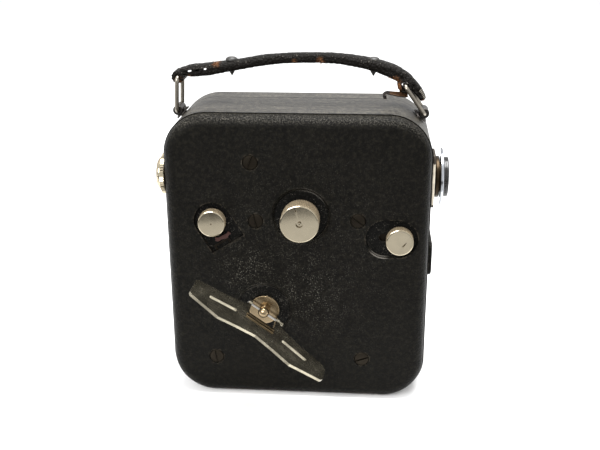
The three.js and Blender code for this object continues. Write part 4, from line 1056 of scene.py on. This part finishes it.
# ------------------------------------------------------------------ handle
def wire_link(name, body, node, link):
    """A rectangular loop of wire standing across the end of the handle."""
    x, z, top_x, top_z = link
    up = Vector((top_x - x, 0, top_z - z))
    height = up.length
    up.normalize()
    across = Vector((0, 1, 0))
    normal = up.cross(across)
    points = [Vector((x, 0, z)) + across * u + up * (v + height / 2)
              for u, v in rounded(LINK_WIDTH, height, 1.4, 8)]
    sections = []
    for i, point in enumerate(points):
        tangent = (points[(i + 1) % len(points)] - points[i - 1]).normalized()
        side = tangent.cross(normal).normalized()
        sections.append([
            point + LINK_WIRE * (side * math.cos(a) + normal * math.sin(a)) for a in turns(14)
        ])
    body_piece = smooth(skin(name, sections, closed=True), 60)
    return finish_piece(body_piece, body, WIRE_STEEL, "steel", node)


def lug(name, side, node, link):
    foot = turned(name, [(0, 13), (1.55, 13), (1.55, 16.8), (3.3, 16.8), (3.3, 17.15), (2.9, 17.5),
                         (1.9, 18.2), (1.7, 19.3), (0, 19.3)], (0, 0), "z", 40)
    at_shoulder(foot, side)
    eye = turned("eye", [(0, -3.6), (1.7, -3.6), (1.9, -3.4), (1.9, 3.4), (1.7, 3.6), (0, 3.6)],
                 (link[0], link[1]), "y", 32)
    join(foot, eye)
    cut(foot, hole_y(link[0], link[1], 1.0, -9, 9))
    smooth(soften(foot, 0.12))
    return finish_piece(foot, "case", DULL_STEEL, "dull_steel", node)


# the strap's line with its half thickness and half width
STRAP = [
    (-45.6, 127.0, 1.1, 4.3), (-41.5, 126.9, 2.35, 4.4), (-34, 127.7, 2.4, 4.6),
    (-24, 129.3, 2.1, 4.4), (-12, 131.3, 2.1, 3.6), (1, 132.2, 2.0, 3.4), (14, 131.9, 2.1, 3.6),
    (25, 130.3, 2.3, 4.4), (33, 128.0, 2.6, 4.6), (38.6, 125.2, 2.6, 4.3), (42.2, 122.4, 2.1, 3.95),
    (44.6, 119.8, 1.8, 3.9), (46.4, 117.2, 1.3, 3.8),
]
STRAP_GAPS = [(-42.3, 126.6), (-39.3, 127.0), (-36.3, 127.4)]


def spline(values, at):
    """Catmull-Rom through equally spaced values."""
    last = len(values) - 1
    i = min(int(at * last), last - 1)
    t = at * last - i
    p = [Vector(values[max(0, min(last, i + k))]) for k in (-1, 0, 1, 2)]
    return 0.5 * (
        2 * p[1]
        + (p[2] - p[0]) * t
        + (2 * p[0] - 5 * p[1] + 4 * p[2] - p[3]) * t ** 2
        + (3 * p[1] - p[0] - 3 * p[2] + p[3]) * t ** 3
    )


def strap_at(share):
    centre = spline([(x, z) for x, z, _, _ in STRAP], share)
    ahead = spline([(x, z) for x, z, _, _ in STRAP], min(1, share + 0.01))
    behind = spline([(x, z) for x, z, _, _ in STRAP], max(0, share - 0.01))
    half, wide = spline([(h, w) for _, _, h, w in STRAP], share)
    tangent = (ahead - behind).normalized()
    return centre, tangent, half, wide


def pebble(point, size, depth):
    """A rounded bump height at a point in millimetres, for skin grain in the outline itself."""
    return depth * noise.noise(Vector(point) / size)


def strap_surface(share, angle, lift=0):
    """A point on the strap's skin. Its two layers are nipped together near the ends."""
    centre, tangent, half, wide = strap_at(share)
    doubled = min(1, max(0, (abs(centre.x) - 29) / 4))
    ribs = 0.14 * math.sin(share * 520) * min(1, max(0, (centre.x - 40) / 2))
    sine, cosine = math.sin(angle), math.cos(angle)
    up = (half + ribs + lift) * math.copysign(abs(sine) ** 0.75, sine)
    out = (wide + lift) * math.copysign(abs(cosine) ** 0.75, cosine)
    out -= math.copysign(0.45 * doubled * math.exp(-(sine / 0.16) ** 2), cosine)
    point = Vector((centre.x - tangent.y * up, out, centre.y + tangent.x * up))
    swell = 1 + (pebble(point, 1.1, 0.16) + pebble(point, 3.5, 0.12) - 0.16) / half
    return Vector((centre.x - tangent.y * up * swell, out * swell,
                   centre.y + tangent.x * up * swell))


def strap_section(share, sides):
    return [strap_surface(share, angle) for angle in turns(sides)]


def strap_body():
    steps, sides = 230, 44
    body = skin("strap_body", [strap_section(s / steps, sides) for s in range(steps + 1)])
    for x, z, hole in ((*LEFT_LINK[2:], 1.05), (*RIGHT_LINK[2:], 1.5)):
        eye = turned("eye", [(0, -4.2), (hole + 1.0, -4.2), (hole + 1.3, -3.9), (hole + 1.3, 3.9),
                             (hole + 1.0, 4.2), (0, 4.2)], (x, z), "y", 40,
                     lambda r, t, i: r + (0.15 * math.sin(i * 1.7 + t) if r > 2 else 0))
        join(body, eye)
        cut(body, hole_y(x, z, hole, -9, 9))
    for number, (x, z) in enumerate(STRAP_GAPS):
        cut(body, slot_gap(x, z, 0.4 - 0.08 * number))
    smooth(body, 50)
    return finish_piece(body, "strap", STRAP_LEATHER, "strap_leather", "handle_strap")


def slot_gap(x, z, half_length):
    """A slit right through the strap between its two layers, slanting down and to the left."""
    gap = prism_y("gap", slot_outline(x - half_length, z, x + half_length, z + 0.1, 0.3), -9, 9)
    centre = (x, 0, z)
    return turn_about(gap, spin(11.4, "Z", centre) @ spin(-10.4, "X", centre))


def rod_between(start, end, thick, thin, sides=6):
    """A tapered rod between two points in millimetres, as two rings of points."""
    along = (end - start).normalized()
    side = along.cross(Vector((0.3, 0.2, 1))).normalized()
    other = along.cross(side)
    return [
        [centre + radius * (side * math.cos(a) + other * math.sin(a)) for a in turns(sides)]
        for centre, radius in ((start, thick), (end, thin))
    ]


def rods(name, ends, thick, thin):
    """Many tapered rods as one object."""
    points, faces = [], []
    for start, end in ends:
        first, last = rod_between(start, end, thick, thin)
        base, count = len(points), len(first)
        points += first + last
        faces += band_faces(base, base + count, count)
        faces += ring_faces(base, count) + ring_faces(base + count, count)
    return mesh_object(name, points, faces)


def strap_stitches():
    """Waxed thread: short pale stitches across the tail, dull ones along the folded ends."""
    pale, dull = [], []
    for number in range(6):
        share = 0.905 + 0.0145 * number
        corners = [strap_surface(share, math.radians(a), 0.12) for a in (166, 148, 128)]
        pale += [(corners[0], corners[1]), (corners[1], corners[2])]
    for number in range(8):
        share = 0.045 + 0.0145 * number
        dull.append((strap_surface(share, math.radians(158), 0.08),
                     strap_surface(share + 0.006, math.radians(158), 0.08)))
    finish_piece(rods("pale_stitches", pale, 0.12, 0.12), "strap", PALE_THREAD, "strap_leather")
    finish_piece(rods("dull_stitches", dull, 0.13, 0.12), "strap", THREAD, "strap_leather")


def frayed_edges():
    """Torn fibres standing off the handle: a tuft by the left rivet and ragged ends."""
    random.seed(11)
    places = [((-31.6, -2.5, 129.7), 26, 1.7), ((-45.5, -2, 123.3), 10, 1.0),
              ((8.0, -2.6, 131.0), 10, 1.1), ((37.2, -3.4, 123.4), 14, 1.3),
              ((45.9, -2.5, 117.6), 12, 1.3), ((34.4, -3.3, 126.0), 12, 1.2)]
    raw, black = [], []
    for centre, count, reach in places:
        for number in range(count):
            start = Vector(centre) + Vector([random.uniform(-0.4, 0.4) for _ in range(3)])
            way = Vector((random.uniform(-1, 1), random.uniform(-0.8, 0.2), random.uniform(-0.6, 1)))
            if centre[2] < 127:
                way.z = -abs(way.z)
            end = start + way.normalized() * reach * random.uniform(0.5, 1)
            (raw if number % 3 else black).append((start, end))
    finish_piece(rods("raw_fibres", raw, 0.20, 0.05), "strap", RAW_LEATHER, "strap_leather")
    finish_piece(rods("black_fibres", black, 0.16, 0.04), "strap", STRAP_LEATHER, "strap_leather")


def strap_rivet(name, node, x, z):
    top, below = z + 1.5, z - 4.4
    profile = [(0, below), (0.3, below + 0.35), (1.35, below + 2.2), (0.7, below + 2.4),
               (0.7, top), (2.25, top), (2.3, top + 0.25), (2.05, top + 0.75), (1.4, top + 1.15),
               (0.6, top + 1.3), (0, top + 1.35)]
    body = smooth(turned(name, profile, (x, 0), "z", 40), 50)
    return finish_piece(body, "strap", RIVET_BLACK, "dull_steel", node)


def torn_flap():
    """A torn strip of the strap over the case: cupped, its near edge drooping, its end curled."""
    line = [(40.6, -0.5, 118.9), (39.6, -0.9, 118.8), (38.4, -1.3, 118.8), (37.2, -1.8, 119.0),
            (36.0, -2.3, 119.2), (34.8, -2.6, 119.4), (33.7, -2.9, 119.6), (32.7, -3.0, 119.7),
            (31.8, -3.1, 119.4), (31.4, -3.15, 118.8), (31.5, -3.2, 118.2), (32.0, -3.2, 117.9),
            (32.6, -3.2, 118.0)]
    sections = []
    for i, (x, y, z) in enumerate(line):
        ahead, behind = line[min(i + 1, len(line) - 1)], line[max(i - 1, 0)]
        tangent = Vector((ahead[0] - behind[0], ahead[2] - behind[2])).normalized()
        droop = max(0, 1 - i / 7)
        half = 2.45 + 0.22 * math.sin(i * 2.3)
        upper, lower = [], []
        for k in range(9):
            across = -1 + k / 4
            rise = 0.16 * across * across + pebble((x, across * 3, z), 0.9, 0.1)
            rise += droop * (0.5 * across - 0.25)
            for side, thick in ((upper, 0.2), (lower, -0.2)):
                side.append((x + tangent.y * thick, y + half * across,
                             z + rise - tangent.x * thick))
        sections.append(upper + lower[::-1])
    body = smooth(skin("torn_flap", sections), 60)
    return finish_piece(body, "strap", FLAP_LEATHER, "strap_leather", "strap_flap")


# ------------------------------------------------------------------ nodes shown as they are
KEPT = [
    (BRASS, "tripod_bush movement_plate spring_barrel second_wheel drive_wheel third_wheel governor_disc"),
    (BLACK_PAINT, "hinge_case_leaf hinge_door_leaf shutter_blade"),
    (STEEL, "hinge_pin ratchet_wheel click second_pinion drive_shaft third_pinion crank_shaft "
            "crank_disc claw_frame"),
    (BLUED, "click_spring mainspring governor_spring_upper governor_spring_lower release_spring"),
    (GLASS, "lens_rear_glass finder_eyepiece_glass finder_front_glass"),
    (NICKEL, "film_gate"),
    (SLIDE_STEEL, "release_slide lock_slide"),
]


def dress_kept_nodes():
    for material, names in KEPT:
        for node in (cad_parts[name] for name in names.split()):
            node.data.materials.clear()
            node.data.materials.append(material)
            for slot in node.material_slots:
                slot.material = material


# ------------------------------------------------------------------ floor and light
def studio():
    floor = mesh_object("floor", [(-4000, -4000, 0), (4000, -4000, 0), (4000, 4000, 0),
                                  (-4000, 4000, 0)], [(0, 1, 2, 3)])
    n = Nodes("white_floor")
    n.set(color=n.ramp(n.noise(400), (0.3, 0.93), (0.7, 0.96)), rough=0.9, specular=0.1)
    floor.data.materials.append(n.material)
    world = bpy.data.worlds.new("studio")
    bpy.context.scene.world = world
    world.use_nodes = True
    sky = world.node_tree.nodes["Background"]
    sky.inputs["Color"].default_value = (1, 1, 1, 1)
    sky.inputs["Strength"].default_value = 1.0
    area_light("top_box", (60, 20, 700), (0, 0, 60), 0.45, 0.35, 8)
    area_light("front_box", (-300, -700, 520), (0, 0, 60), 0.5, 0.4, 7)
    flag("dark_flag", -90, -517, 2, 0.042)
    flag("band_flag", -44, -520, 1.5, 0.10)
    flag("grey_flag", -75, -75, 1, 0.30)
    bpy.context.scene.view_settings.view_transform = "Standard"


def flag(name, left_edge, right_edge, z, grey):
    """A cloth on the floor in front of the object, seen only in its reflections."""
    corners = [(-500, left_edge, z), (600, right_edge, z), (600, -2500, z), (-500, -2500, z)]
    cloth = mesh_object(name, corners, [(0, 1, 2, 3)])
    n = Nodes(name + "_cloth")
    n.set(color=n.ramp(n.noise(50), (0.3, grey), (0.7, grey * 1.2)), rough=0.9, specular=0.1)
    cloth.data.materials.append(n.material)
    cloth.visible_camera = cloth.visible_diffuse = False
    cloth.visible_shadow = cloth.visible_transmission = False


def area_light(name, place, target, width, height, watts):
    data = bpy.data.lights.new(name, "AREA")
    data.shape = "RECTANGLE"
    data.size, data.size_y = width, height
    data.energy = watts
    light = bpy.data.objects.new(name, data)
    bpy.context.scene.collection.objects.link(light)
    light.location = Vector(place) * MM
    aim = (Vector(target) - Vector(place)).to_track_quat("-Z", "Y")
    light.rotation_euler = aim.to_euler()


case_body()
cover_shell()
door_shell()
catch_plate()
cover_screws()
lock_lining()
drive_knob()
small_knob("knob_lock", "lock", LOCK, "lock_knob", hole_y(*LOCK, 0.3, -27, -25.2))
small_knob("knob_release", "release", RELEASE, "release_knob", arrow_mark())
key_plate()
key_hub()
key_pin()
lens_group()
finder()
wire_link("link_left", "left_link", "handle_link_left", LEFT_LINK)
wire_link("link_right", "right_link", "handle_link_right", RIGHT_LINK)
lug("lug_left", -1, "handle_lug_left", LEFT_LINK)
lug("lug_right", 1, "handle_lug_right", RIGHT_LINK)
strap_body()
strap_stitches()
frayed_edges()
strap_rivet("rivet_left", "strap_rivet_left", -26, 129.5)
strap_rivet("rivet_right", "strap_rivet_right", 27.5, 129.8)
torn_flap()
dress_kept_nodes()
studio()
